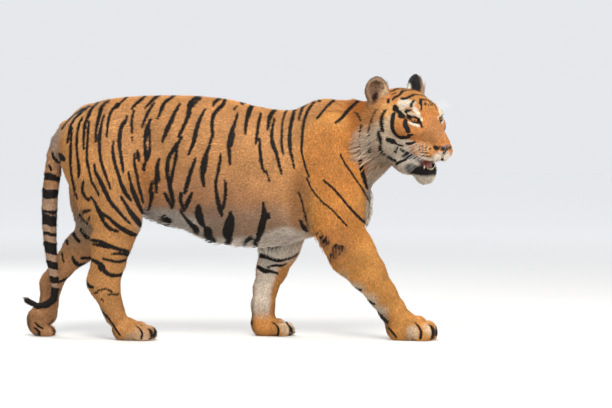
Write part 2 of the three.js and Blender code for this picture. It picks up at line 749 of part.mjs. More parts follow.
// ---- tail, in the plane of the spine, and where it is parted ----
const tailRings = [
  [-618, 0, 850, 50],
  [-664, -1, 832, 44],
  [-700, -2, 786, 39],
  [-720, -2, 730, 36],
  [-732, -2, 660, 34],
  [-742, -2, 590, 33],
  [-746, -2, 520, 32],
  [-746, -2, 450, 30],
  [-744, -2, 384, 27],
  [-737, -2, 316, 24],
  [-728, -2, 250, 20],
  [-723, -2, 200, 17.5],
  [-730, -2, 158, 16],
  [-756, -2, 132, 15],
  [-794, -2, 127, 14.5],
  [-832, -2, 147, 13.5],
  [-858, -2, 171, 8],
];
const tailCuts = {
  middle: { at: [-746, 0, 520], pitch: 90 },
  tip: { at: [-737, 0, 310], pitch: 90 },
};
const tail = solidOf(tube(tailRings, 9));

// ---- seats: each hard piece gets a hollow in the flesh that it fits with a gap round it ----
const jawSolid = biggest(solidOf(meshOf(jawShape, boxes.jaw)));
const noseBox = { low: [762, -352, 726], high: [878, -184, 880], cell: [12, 12, 12] };
const tongueBox = { low: [600, -400, 600], high: [900, -60, 860], cell: [24, 18, 18] };
const noseSolid = solidOf(meshOf(noseShape, noseBox));
const tongueSolid = solidOf(meshOf(tongueShape, tongueBox));
const eyeSolids = [eyeSolid(-1), eyeSolid(1)];
const [upperFangs, lowerFangs] = fangs.map((fang) => [fangSolid(fang, -1), fangSolid(fang, 1)]);

const seated = (solid, ...guests) =>
  biggest(guests.reduce((rest, guest) => rest.subtract(swollen(guest)).subtract(guest), solid));
const lowerJaw = seated(jawSolid, tongueSolid, ...lowerFangs);
const head = seated(flesh.head, jawSolid, tongueSolid, noseSolid, ...eyeSolids, ...upperFangs, ...lowerFangs);
const trunk = seated(flesh.trunk, tail);
const ears = [earSolid(-1), earSolid(1)].map((ear) => seated(ear, head));

// ---- finishes ----
const finish = (color, roughness) => new THREE.MeshStandardMaterial({ color, roughness, metalness: 0 });
const finishes = {
  orange: finish('#c98a4e', 0.85),
  flank: finish('#af7a53', 0.85),
  neck: finish('#c07a38', 0.85),
  face: finish('#b9803f', 0.8),
  foreleg: finish('#c9854a', 0.85),
  hindleg: finish('#a87349', 0.85),
  paw: finish('#d08f47', 0.85),
  tail: finish('#8f6d4c', 0.85),
  tailTip: finish('#1d1510', 0.85),
  chin: finish('#c9b79c', 0.8),
  ear: finish('#5a3d26', 0.85),
  nose: finish('#93644a', 0.5),
  tongue: finish('#8c4a44', 0.45),
  tooth: finish('#e6dcc2', 0.35),
  claw: finish('#3b2f24', 0.4),
  eye: finish('#a5701f', 0.08),
};

// ---- the assembled tiger ----
const tiger = new THREE.Group();
tiger.name = 'bengal_tiger';

function part(name, solid, material, group = tiger) {
  const mesh = new THREE.Mesh(unpinched(geometryFrom(solid)), material);
  mesh.name = name;
  group.add(mesh);
}

function groupOf(name) {
  const group = new THREE.Group();
  group.name = name;
  tiger.add(group);
  return group;
}

part('trunk', trunk, finishes.flank);
part('neck', flesh.neck, finishes.neck);

const headGroup = groupOf('head_group');
part('head', head, finishes.face, headGroup);
part('lower_jaw', lowerJaw, finishes.chin, headGroup);
part('nose', noseSolid, finishes.nose, headGroup);
part('tongue', tongueSolid, finishes.tongue, headGroup);
[-1, 1].forEach((side, i) => {
  const name = sideName(side);
  part(`ear_${name}`, ears[i], finishes.ear, headGroup);
  part(`eye_${name}`, eyeSolids[i], finishes.eye, headGroup);
  part(`upper_canine_${name}`, upperFangs[i], finishes.tooth, headGroup);
  part(`lower_canine_${name}`, lowerFangs[i], finishes.tooth, headGroup);
});

const limbNames = { fore: ['forearm', 'forepaw'], hind: ['shank', 'hindpaw'] };
for (const end of ['fore', 'hind']) {
  for (const name of ['right', 'left']) {
    const leg = groupOf(`${end}_leg_${name}`);
    const [upper, foot] = limbNames[end];
    const skin = end === 'fore' ? finishes.foreleg : finishes.hindleg;
    if (end === 'hind') part(`thigh_${name}`, flesh[`thigh_${name}`], skin, leg);
    part(`${upper}_${name}`, flesh[`${upper}_${name}`], skin, leg);
    const toeClaws = claws[`${end}_${name}`];
    part(`${foot}_${name}`, seated(flesh[`${foot}_${name}`], ...toeClaws), finishes.paw, leg);
    toeClaws.forEach((claw, i) => part(`claw_${end}_${name}_${i + 1}`, claw, finishes.claw, leg));
  }
}

const tailGroup = groupOf('tail');
const tailMiddle = tail.intersect(half(tailCuts.middle, 1)).intersect(half(tailCuts.tip, -1));
part('tail_base', tail.intersect(half(tailCuts.middle, -1)), finishes.tail, tailGroup);
part('tail_middle', tailMiddle, finishes.tail, tailGroup);
part('tail_tip', tail.intersect(half(tailCuts.tip, 1)), finishes.tailTip, tailGroup);

// The model's origin is the middle of its box, on the floor.
const box = new THREE.Box3().setFromObject(tiger);
const shift = box.getCenter(new THREE.Vector3()).setZ(box.min.z);
tiger.children.forEach((child) => child.position.sub(shift));

export default tiger;
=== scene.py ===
# A walking Bengal tiger: one sculpted skin under a coat of mesh tufts, with its eyes, teeth, tongue,
# nose and claws.
import math

import bmesh
import bpy
import numpy as np
import openvdb
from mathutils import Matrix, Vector


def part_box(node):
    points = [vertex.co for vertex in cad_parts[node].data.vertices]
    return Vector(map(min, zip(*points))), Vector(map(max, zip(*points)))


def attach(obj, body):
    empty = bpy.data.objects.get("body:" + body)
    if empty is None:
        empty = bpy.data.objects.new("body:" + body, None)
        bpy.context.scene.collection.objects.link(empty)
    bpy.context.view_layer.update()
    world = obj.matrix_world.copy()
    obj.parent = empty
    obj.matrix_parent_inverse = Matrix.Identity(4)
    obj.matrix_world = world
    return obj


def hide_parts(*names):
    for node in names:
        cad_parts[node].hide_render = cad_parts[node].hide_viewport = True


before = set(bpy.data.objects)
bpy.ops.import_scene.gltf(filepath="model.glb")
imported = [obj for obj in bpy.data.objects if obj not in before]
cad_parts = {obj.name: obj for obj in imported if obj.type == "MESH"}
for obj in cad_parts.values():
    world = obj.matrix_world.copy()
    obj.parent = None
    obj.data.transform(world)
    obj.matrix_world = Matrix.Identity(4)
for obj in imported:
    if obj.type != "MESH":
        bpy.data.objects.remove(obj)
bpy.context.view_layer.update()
scene = bpy.context.scene
print("frame loaded")

# Shapes are worked out in millimetres in the body's own frame: x forward, y to the left, z up.
headPose = {"at": (749, -165, 877), "yaw": -49, "pitch": 20, "roll": 4}  # at is midway between the eyes
eyeShape = {"radius": 19, "spread": 64, "outward": 22, "lid": 4.5, "opening": (19, 3.5, 5.5)}
jawPose = {"at": (-118, 0, -62), "pitch": 12}
earShape = {"at": (-192, 104, 50), "half": (30, 48, 58), "wall": 11,
            "right": {"yaw": -50, "roll": 8, "pitch": -6}, "left": {"yaw": 74, "roll": -6, "pitch": -6}}


def nodeMiddle(name):
    low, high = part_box(name)
    return (Vector(low) + Vector(high)) / 2


eyesMiddle = (nodeMiddle("eye_right") + nodeMiddle("eye_left")) / 2
# From the body's frame to the CAD's, in metres.
homeShift = np.array(eyesMiddle) - np.array(headPose["at"]) / 1000


def toWorld(points):
    return np.asarray(points, float) / 1000 + homeShift


def turnMatrix(yaw=0, pitch=0, roll=0):
    a, b, c = math.radians(yaw), math.radians(pitch), math.radians(roll)
    turnZ = np.array([[math.cos(a), -math.sin(a), 0], [math.sin(a), math.cos(a), 0], [0, 0, 1]])
    turnY = np.array([[math.cos(b), 0, math.sin(b)], [0, 1, 0], [-math.sin(b), 0, math.cos(b)]])
    turnX = np.array([[1, 0, 0], [0, math.cos(c), -math.sin(c)], [0, math.sin(c), math.cos(c)]])
    return turnZ @ turnY @ turnX


headTurn = turnMatrix(headPose["yaw"], headPose["pitch"], headPose["roll"])


# A soft shape is (value, low, high), and value(x, y, z) is negative inside it.
def turnedInto(x, y, z, at, turn):
    dx, dy, dz = x - at[0], y - at[1], z - at[2]
    return [turn[0][i] * dx + turn[1][i] * dy + turn[2][i] * dz for i in range(3)]


def mass(at, radii, **angles):
    turn = turnMatrix(**angles)
    a, b, c = radii

    def value(x, y, z):
        lx, ly, lz = turnedInto(x, y, z, at, turn)
        lx, ly, lz = lx / a, ly / b, lz / c
        out = np.sqrt(lx * lx + ly * ly + lz * lz)
        slope = np.sqrt((lx / a) ** 2 + (ly / b) ** 2 + (lz / c) ** 2) + 1e-6
        return out * (out - 1) / slope

    reach = np.sqrt(((turn * np.array(radii)) ** 2).sum(axis=1))
    return value, np.array(at) - reach, np.array(at) + reach


def melted(a, b, over):
    h = np.maximum(over - np.abs(a - b), 0) / over
    return np.minimum(a, b) - h * h * over / 4


def carved(a, b, over):
    return -melted(-a, b, over)


def limb(*stations, over=14):
    def value(x, y, z):
        nearest = None
        for a, b in zip(stations, stations[1:]):
            dx, dy, dz = b[0] - a[0], b[1] - a[1], b[2] - a[2]
            along = (x - a[0]) * dx + (y - a[1]) * dy + (z - a[2]) * dz
            t = np.clip(along / (dx * dx + dy * dy + dz * dz), 0, 1)
            depth = a[3] + (b[3] - a[3]) * t
            width = a[4] + (b[4] - a[4]) * t
            off = np.hypot(x - a[0] - dx * t, z - a[2] - dz * t)
            reach = np.hypot(off / depth, (y - a[1] - dy * t) / width)
            ring = (reach - 1) * np.minimum(depth, width)
            nearest = ring if nearest is None else melted(nearest, ring, over)
        return nearest

    centres = np.array([s[:3] for s in stations], float)
    sizes = np.array([[s[3], s[4], s[3]] for s in stations], float)
    return value, (centres - sizes).min(axis=0), (centres + sizes).max(axis=0)


def smoothTable(places, values, x):
    slopes = np.gradient(values, places)
    i = np.clip(np.searchsorted(places, x, side="right") - 1, 0, len(places) - 2)
    span = places[i + 1] - places[i]
    t = (x - places[i]) / span
    rise = values[i] * (1 + 2 * t) * (1 - t) ** 2 + values[i + 1] * t * t * (3 - 2 * t)
    return rise + slopes[i] * span * t * (1 - t) ** 2 + slopes[i + 1] * span * t * t * (t - 1)


def barrel(stations, fullness=2.2):
    places, tops, bottoms, halves = np.array(stations, float).T

    def value(x, y, z):
        at = np.clip(x, places[0], places[-1])
        top, bottom, half = (smoothTable(places, v, at) for v in (tops, bottoms, halves))
        rise = (top - bottom) / 2
        up, side = np.abs(z - (top + bottom) / 2) / rise, np.abs(y) / half
        ring = ((up ** fullness + side ** fullness) ** (1 / fullness) - 1) * np.minimum(half, rise)
        beyond = np.abs(x - at)
        ends = np.where(ring > 0, np.hypot(ring, beyond), np.maximum(ring, beyond))
        return np.where(beyond == 0, ring, ends)

    low = np.array([places[0], -halves.max(), bottoms.min()])
    return value, low, np.array([places[-1], halves.max(), tops.max()])


def sculpture(add, carve=()):
    def value(x, y, z):
        total = None
        for (form, *_), over in add:
            here = form(x, y, z)
            total = here if total is None else melted(total, here, over)
        for (form, *_), over in carve:
            total = carved(total, form(x, y, z), over)
        return total

    return value, np.min([s[1] for s, _ in add], axis=0), np.max([s[2] for s, _ in add], axis=0)


def placed(shape, at=(0, 0, 0), **angles):
    form, low, high = shape
    turn = turnMatrix(**angles)
    corners = np.array(np.meshgrid(*zip(low, high), indexing="ij")).reshape(3, -1).T
    there = corners @ turn.T + np.array(at)
    return (lambda x, y, z: form(*turnedInto(x, y, z, at, turn))), there.min(axis=0), there.max(axis=0)


def bothSides(shape):
    form, low, high = shape
    wide = max(abs(low[1]), abs(high[1]))
    low, high = np.array([low[0], -wide, low[2]]), np.array([high[0], wide, high[2]])
    return (lambda x, y, z: form(x, np.abs(y), z)), low, high


# The body's forms: each shape with how far it melts into the ones before it.
trunkForms = [
    (barrel([  # x, top, bottom, half width
        (-690, 812, 706, 58), (-640, 902, 640, 112), (-545, 950, 560, 150), (-440, 968, 512, 160),
        (-335, 975, 476, 158), (-215, 976, 432, 170), (-110, 970, 390, 182), (-10, 956, 374, 188),
        (90, 931, 368, 184), (200, 917, 376, 172), (300, 928, 398, 150), (390, 938, 424, 128),
        (470, 922, 460, 104)]), 1),
    (mass((-585, 0, 740), (120, 108, 150), pitch=-28), 50),  # rump
    (mass((355, 0, 782), (110, 66, 156), pitch=-8), 50),  # withers
    (mass((452, 0, 560), (86, 92, 140), pitch=-10), 50),  # breast
]
trunkHollows = [
    (bothSides(mass((-300, 236, 560), (120, 66, 150), pitch=20)), 60),  # flank before each thigh
    (bothSides(mass((205, 262, 560), (60, 80, 200))), 50),  # behind each shoulder
]
neckForms = [
    (limb((420, 0, 754, 168, 118), (506, -10, 786, 152, 120), (592, -48, 830, 126, 112)), 70),
    (mass((496, -10, 700), (78, 84, 80), pitch=24), 50),  # throat
    (mass((530, -22, 878), (130, 60, 52), pitch=-4, yaw=-14), 50),  # crest
]


def foreLeg(side, shoulder, stations):
    return [
        (mass((330, side * 112, 724), (92, 52, 190), pitch=24), 60),  # shoulder blade
        (mass((shoulder, side * 126, 585), (118, 60, 150), pitch=-20), 60),  # upper arm
        (limb(*stations), 46),
    ]


def hindLeg(hip, thigh, thighRadii, lean, stations, foot):
    return [
        (mass(hip, (128, 70, 160), pitch=6), 60),
        (mass(thigh, thighRadii, pitch=lean), 60),
        (limb(*stations), 40),
        (limb(stations[-1], foot), 30),
    ]


rightFore = ((406, -146, 450, 102, 60), (462, -140, 344, 96, 57), (520, -130, 270, 76, 50),
             (580, -117, 184, 59, 45), (622, -108, 118, 54, 47), (650, -105, 72, 50, 48))
leftFore = ((202, 128, 448, 96, 60), (172, 130, 356, 82, 56), (142, 126, 268, 64, 50),
            (116, 118, 192, 50, 44), (106, 112, 126, 48, 45), (108, 110, 66, 50, 46))
rightHind = ((-448, -128, 470, 86, 56), (-488, -122, 388, 84, 52), (-500, -114, 312, 70, 44),
             (-522, -106, 232, 60, 39))
leftHind = ((-560, 126, 436, 82, 54), (-640, 122, 352, 66, 48), (-712, 116, 276, 48, 40),
            (-752, 110, 214, 42, 36))

toeRow = ((-48, 84, 22), (-17, 106, 23.5), (17, 106, 23.5), (48, 84, 22))  # across, reach, half width


def pawShape(length=1, width=1, height=1):
    toes = []
    for across, reach, half in toeRow:
        tip = mass((reach * length, across * width, 36 * height), (38 * length, half * width, 40 * height),
                   yaw=across * 0.12)
        knuckle = mass(((reach - 34) * length, across * width * 0.92, 54 * height),
                       (36 * length, half * width, 38 * height))
        toes += [(tip, 6), (knuckle, 8)]
    return sculpture([
        (mass((14 * length, 0, 52 * height), (64 * length, 54 * width, 58 * height), pitch=28), 20),
        (mass((44 * length, 0, 44 * height), (56 * length, 60 * width, 44 * height), pitch=12), 16),
        *toes])


def toeStand():
    toes = [(mass((18 - abs(across) * 0.25, across * 0.88, 27), (34, half, 30), yaw=across * 0.12), 7)
            for across, _, half in toeRow]
    return sculpture([(mass((-24, 0, 66), (50, 54, 62), pitch=-8), 24), *toes])


soleFlat = 9
paws = {
    "foreRight": placed(pawShape(1.08, 1, 1.18), at=(646, -104, -soleFlat), yaw=-3),
    "foreLeft": placed(pawShape(0.94, 0.96, 0.88), at=(100, 108, -soleFlat), yaw=4),
    "hindRight": placed(pawShape(0.95, 0.88, 0.94), at=(-446, -104, -soleFlat), yaw=-3),
    "hindLeft": placed(toeStand(), at=(-780, 108, -soleFlat), yaw=3),
}

# In the head's frame: forward, left, up from midway between the eyes.
skullForms = [
    (mass((-112, 0, 4), (104, 92, 74), pitch=-6), 30),  # braincase
    (mass((-44, 0, 14), (70, 80, 46), pitch=-26), 30),  # forehead
    (mass((-6, 0, -46), (84, 86, 66), pitch=10), 30),  # middle of the face
    (bothSides(mass((-50, 84, -44), (72, 40, 50), yaw=8)), 30),  # cheekbones
    (bothSides(mass((-14, 54, 20), (34, 30, 16), yaw=14)), 18),  # brows
    (bothSides(mass((60, 12, -40), (84, 28, 34), pitch=20)), 24),  # nose bridge
    (mass((80, 0, -88), (60, 62, 48), pitch=8), 24),  # muzzle
    (bothSides(mass((88, 41, -103), (45, 36, 40))), 9),  # whisker pads
    (bothSides(mass((118, 20, -116), (24, 22, 24))), 8),  # front of the upper lip
    (bothSides(mass((34, 56, -106), (66, 22, 33))), 16),  # lips along the mouth
    (bothSides(mass((-46, 70, -104), (62, 38, 58), pitch=10)), 24),  # jaw muscles
    (mass((114, 0, -60), (21, 28, 21), pitch=16), 10),  # tip of the nose
    (bothSides(mass((-102, 104, -86), (56, 44, 80), pitch=-10)), 36),  # ruff on each cheek
    (bothSides(mass((-38, 46, -184), (86, 43, 46), pitch=14)), 34),  # hair under the jaw's angle
    (bothSides(mass((-172, 90, 16), (42, 34, 42))), 30),  # under each ear
    (mass((-180, 0, -44), (80, 96, 92), pitch=-20), 50),  # into the neck
    (mass((-92, 0, -118), (86, 64, 56), pitch=14), 50),  # throat
]
skullHollows = [(mass((64, 0, -154), (88, 48, 24), pitch=8), 8)]  # roof of the mouth
jawForms = [
    (bothSides(mass((108, 44, -88), (114, 26, 36), yaw=-10)), 14),  # each side of the jaw
    (mass((206, 0, -106), (38, 38, 45)), 22),  # chin
    (mass((120, 0, -108), (110, 50, 30), pitch=4), 26),  # underside
]
jawHollows = [(mass((152, 0, -60), (84, 32, 30)), 8)]


def eyeFrame(side):
    return {"at": (0, side * eyeShape["spread"], 0), "yaw": side * eyeShape["outward"], "pitch": -4,
            "roll": side * 14}


def almond(side):
    half, upper, lower = eyeShape["opening"]

    def value(x, y, z):
        arcs = []
        for rise, way in ((upper, 1), (lower, -1)):
            radius = (half * half + rise * rise) / (2 * rise)
            arcs.append(np.hypot(y, z * way + radius - rise) - radius)
        return np.maximum(np.maximum(*arcs), 6 - x)

    return placed((value, np.array([0, -half, -lower]), np.array([60, half, upper])), **eyeFrame(side))


def faceDetails():
    lids = []
    for side in (-1, 1):
        ball = eyeShape["radius"] + eyeShape["lid"]
        lids.append((mass((0, side * eyeShape["spread"], 0), (ball, ball, ball)), 9))
    grooves = [(almond(side), 1.5) for side in (-1, 1)]
    grooves.append((mass((142, 0, -112), (14, 2.5, 24)), 4))  # the split of the upper lip
    return lids, grooves


# The tail's middle line, and how thick it is.
tailStations = [
    (-618, 0, 850, 50), (-664, -1, 832, 44), (-700, -2, 786, 39), (-720, -2, 730, 36), (-732, -2, 660, 34),
    (-742, -2, 590, 33), (-746, -2, 520, 32), (-746, -2, 450, 30), (-744, -2, 384, 27), (-737, -2, 316, 24),
    (-728, -2, 250, 20), (-723, -2, 200, 17.5), (-730, -2, 158, 16), (-756, -2, 132, 15),
    (-794, -2, 127, 14.5), (-832, -2, 147, 13.5), (-854, -2, 168, 8)]


def headPlaced(shape):
    return placed(shape, **headPose)


def earForm(side, hollowed=True):
    out, deep = earShape["at"], earShape["half"][0]
    broad, tall = earShape["half"][1:]
    wall = earShape["wall"]
    hollow = [(mass((deep + 16, 0, 2), (deep + 26, broad - wall, tall - wall)), 5)] if hollowed else []
    shell = sculpture([(mass((0, 0, 0), (deep, broad, tall)), 1)], hollow)
    at = (out[0], side * out[1], out[2])
    return headPlaced(placed(shell, at=at, **earShape["right" if side < 0 else "left"]))


def bodyGroups(detailed):
    lids, grooves = faceDetails() if detailed else ([], [])
    head = headPlaced(sculpture(skullForms + lids, skullHollows + grooves))
    jaw = headPlaced(placed(sculpture(jawForms, jawHollows), **jawPose))
    tail = limb(*[(x, y, z, r, r) for x, y, z, r in tailStations], over=4)
    return {
        "trunk": trunkForms,
        "neck": neckForms,
        "foreRight": foreLeg(-1, 392, rightFore) + [(paws["foreRight"], 18)],
        "foreLeft": foreLeg(1, 318, leftFore) + [(paws["foreLeft"], 18)],
        "hindRight": hindLeg((-560, -88, 740), (-512, -122, 606), (128, 62, 178), -20, rightHind,
                             (-474, -106, 96, 44, 44)) + [(paws["hindRight"], 18)],
        "hindLeft": hindLeg((-566, 88, 736), (-560, 120, 588), (120, 60, 170), 8, leftHind,
                            (-768, 108, 84, 42, 44)) + [(paws["hindLeft"], 18)],
        "head": [(head, 40)],
        "jaw": [(jaw, 6)],
        "earRight": [(earForm(-1, detailed), 14)],
        "earLeft": [(earForm(1, detailed), 14)],
        "tail": [(tail, 12)],
    }


def bodySteps(detailed):
    groups = bodyGroups(detailed)
    lastOnes = ("jaw", "earRight", "earLeft", "tail")
    early = [step for name in groups if name not in lastOnes for step in groups[name]]
    steps = [(shape, over, melted) for shape, over in early]
    steps += [(shape, over, carved) for shape, over in trunkHollows]
    late = [step for name in lastOnes for step in groups[name]]
    return steps + [(shape, over, melted) for shape, over in late]


farAway = 90.0
reachOut = 100  # how far round each form its pull is worked out


def onGrid(steps, axes):
    field = np.full([len(a) for a in axes], farAway, np.float32)
    for (form, low, high), over, join in steps:
        spans = [slice(*np.searchsorted(a, (l - reachOut, h + reachOut)))
                 for a, l, h in zip(axes, low, high)]
        x, y, z = (a[s] for a, s in zip(axes, spans))
        here = form(x[:, None, None], y[None, :, None], z[None, None, :])
        field[tuple(spans)] = join(field[tuple(spans)], here.astype(np.float32), over)
    return field


def atPoints(steps, points):
    total = np.full(len(points), farAway)
    for (form, low, high), over, join in steps:
        close = ((points > low - reachOut) & (points < high + reachOut)).all(axis=1)
        if close.any():
            total[close] = join(total[close], form(*points[close].T), over)
    return total


def slopeAt(steps, points, value, probe=0.4):
    moved = [atPoints(steps, points + probe * axis) - value for axis in np.eye(3)]
    return np.stack(moved, axis=1) / probe


def outwardAt(steps, points):
    normals = slopeAt(steps, points, atPoints(steps, points))
    return normals / (np.linalg.norm(normals, axis=1)[:, None] + 1e-9)


# Points moved along the slope until they lie at the given depth under the shape's surface.
def settled(points, steps, depth, passes=3, farthest=3.0):
    points = points.copy()
    for _ in range(passes):
        value = atPoints(steps, points)
        slope = slopeAt(steps, points, value)
        steep = np.maximum((slope ** 2).sum(axis=1), 0.25)
        step = np.clip((value + depth) / steep, -farthest, farthest)
        points -= slope * step[:, None]
    return points


# The skin lies this deep under the solids' surface, which the coat fills again.
coatDepth = {"trunk": 7.0, "neck": 8.0, "foreRight": 5.0, "foreLeft": 5.0, "hindRight": 5.5, "hindLeft": 5.5,
             "head": 4.0, "jaw": 4.0, "earRight": 2.5, "earLeft": 2.5, "tail": 5.0}
skinMesh = {"cell": 9.4, "sole": 2.5, "bare": 1.2, "edge": 7.0, "paws": 78,
            "low": (-900, -300, -20), "high": (900, 240, 1080)}


def intoHead(points):
    return (points - np.array(headPose["at"])) @ headTurn


# The head's right half folded onto its left.
def folded(head):
    return head * [1, 0, 1] + np.abs(head * [0, 1, 0])


# How much of each region a place belongs to.
def regionWeights(points, soft=10.0):
    fields = {}
    for name, forms in bodyGroups(True).items():
        fields[name] = atPoints([(shape, over, melted) for shape, over in forms], points)
    nearest = np.min(list(fields.values()), axis=0)
    weights = {name: np.exp(-np.minimum(value - nearest, 200) / soft) for name, value in fields.items()}
    total = np.sum(list(weights.values()), axis=0)
    return {name: w / total for name, w in weights.items()}


def blendOf(table, weights):
    return sum(np.multiply.outer(weights[name], np.array(value, float)) for name, value in table.items())


def near(points, at, reach):
    return ((points - np.array(at)) ** 2).sum(axis=1) < reach * reach


# The coat's depth over the skin: by region, and next to nothing on the lids and round the nose pad.
def depthAt(points):
    mirrored = folded(intoHead(points))
    lids = np.linalg.norm(mirrored - [8, 66, 0], axis=1)
    pad = np.linalg.norm((mirrored - [124, 0, -74]) / [1, 1.5, 1], axis=1)
    bare = np.maximum(smoothStep(40, 26, lids), smoothStep(34, 22, pad))
    depth = blendOf(coatDepth, regionWeights(points))
    return depth + bare * (skinMesh["bare"] - depth)


# Where the skin's faces are divided once, and where twice.
def fineAreas(points):
    mirrored = folded(intoHead(points))
    onHead = ((mirrored > (-230, -1, -260)) & (mirrored < (400, 190, 160))).all(axis=1)
    eyes, muzzle = near(mirrored, (10, 62, -2), 46), near(mirrored, (120, 0, -84), 66)
    lips, ears = near(mirrored, (96, 40, -130), 60), near(mirrored, (-192, 104, 60), 74)
    return onHead | (points[:, 2] < skinMesh["paws"]), eyes | muzzle | lips | ears


def divide(points, faces, chosen):
    body = bmesh.new()
    verts = [body.verts.new(p) for p in points]
    for f in faces:
        body.faces.new([verts[i] for i in f])
    body.verts.index_update()
    edges = [e for e in body.edges if chosen[e.verts[0].index] and chosen[e.verts[1].index]]
    bmesh.ops.subdivide_edges(body, edges=edges, cuts=1, use_grid_fill=True)
    body.verts.index_update()
    points = np.array([v.co[:] for v in body.verts])
    faces = [[v.index for v in f.verts] for f in body.faces]
    body.free()
    return points, faces


def relaxed(points, faces, steps, depth, rounds=2):
    pairs = np.array(sorted({(min(a, b), max(a, b)) for f in faces for a, b in zip(f, f[1:] + f[:1])}))
    count = np.bincount(pairs.ravel(), minlength=len(points))[:, None]
    for _ in range(rounds):
        total = np.zeros_like(points)
        np.add.at(total, pairs[:, 0], points[pairs[:, 1]])
        np.add.at(total, pairs[:, 1], points[pairs[:, 0]])
        middle = total / np.maximum(count, 1)
        points = points + (middle - points) * 0.5
        points = settled(points, steps, depth, passes=2)
    return points


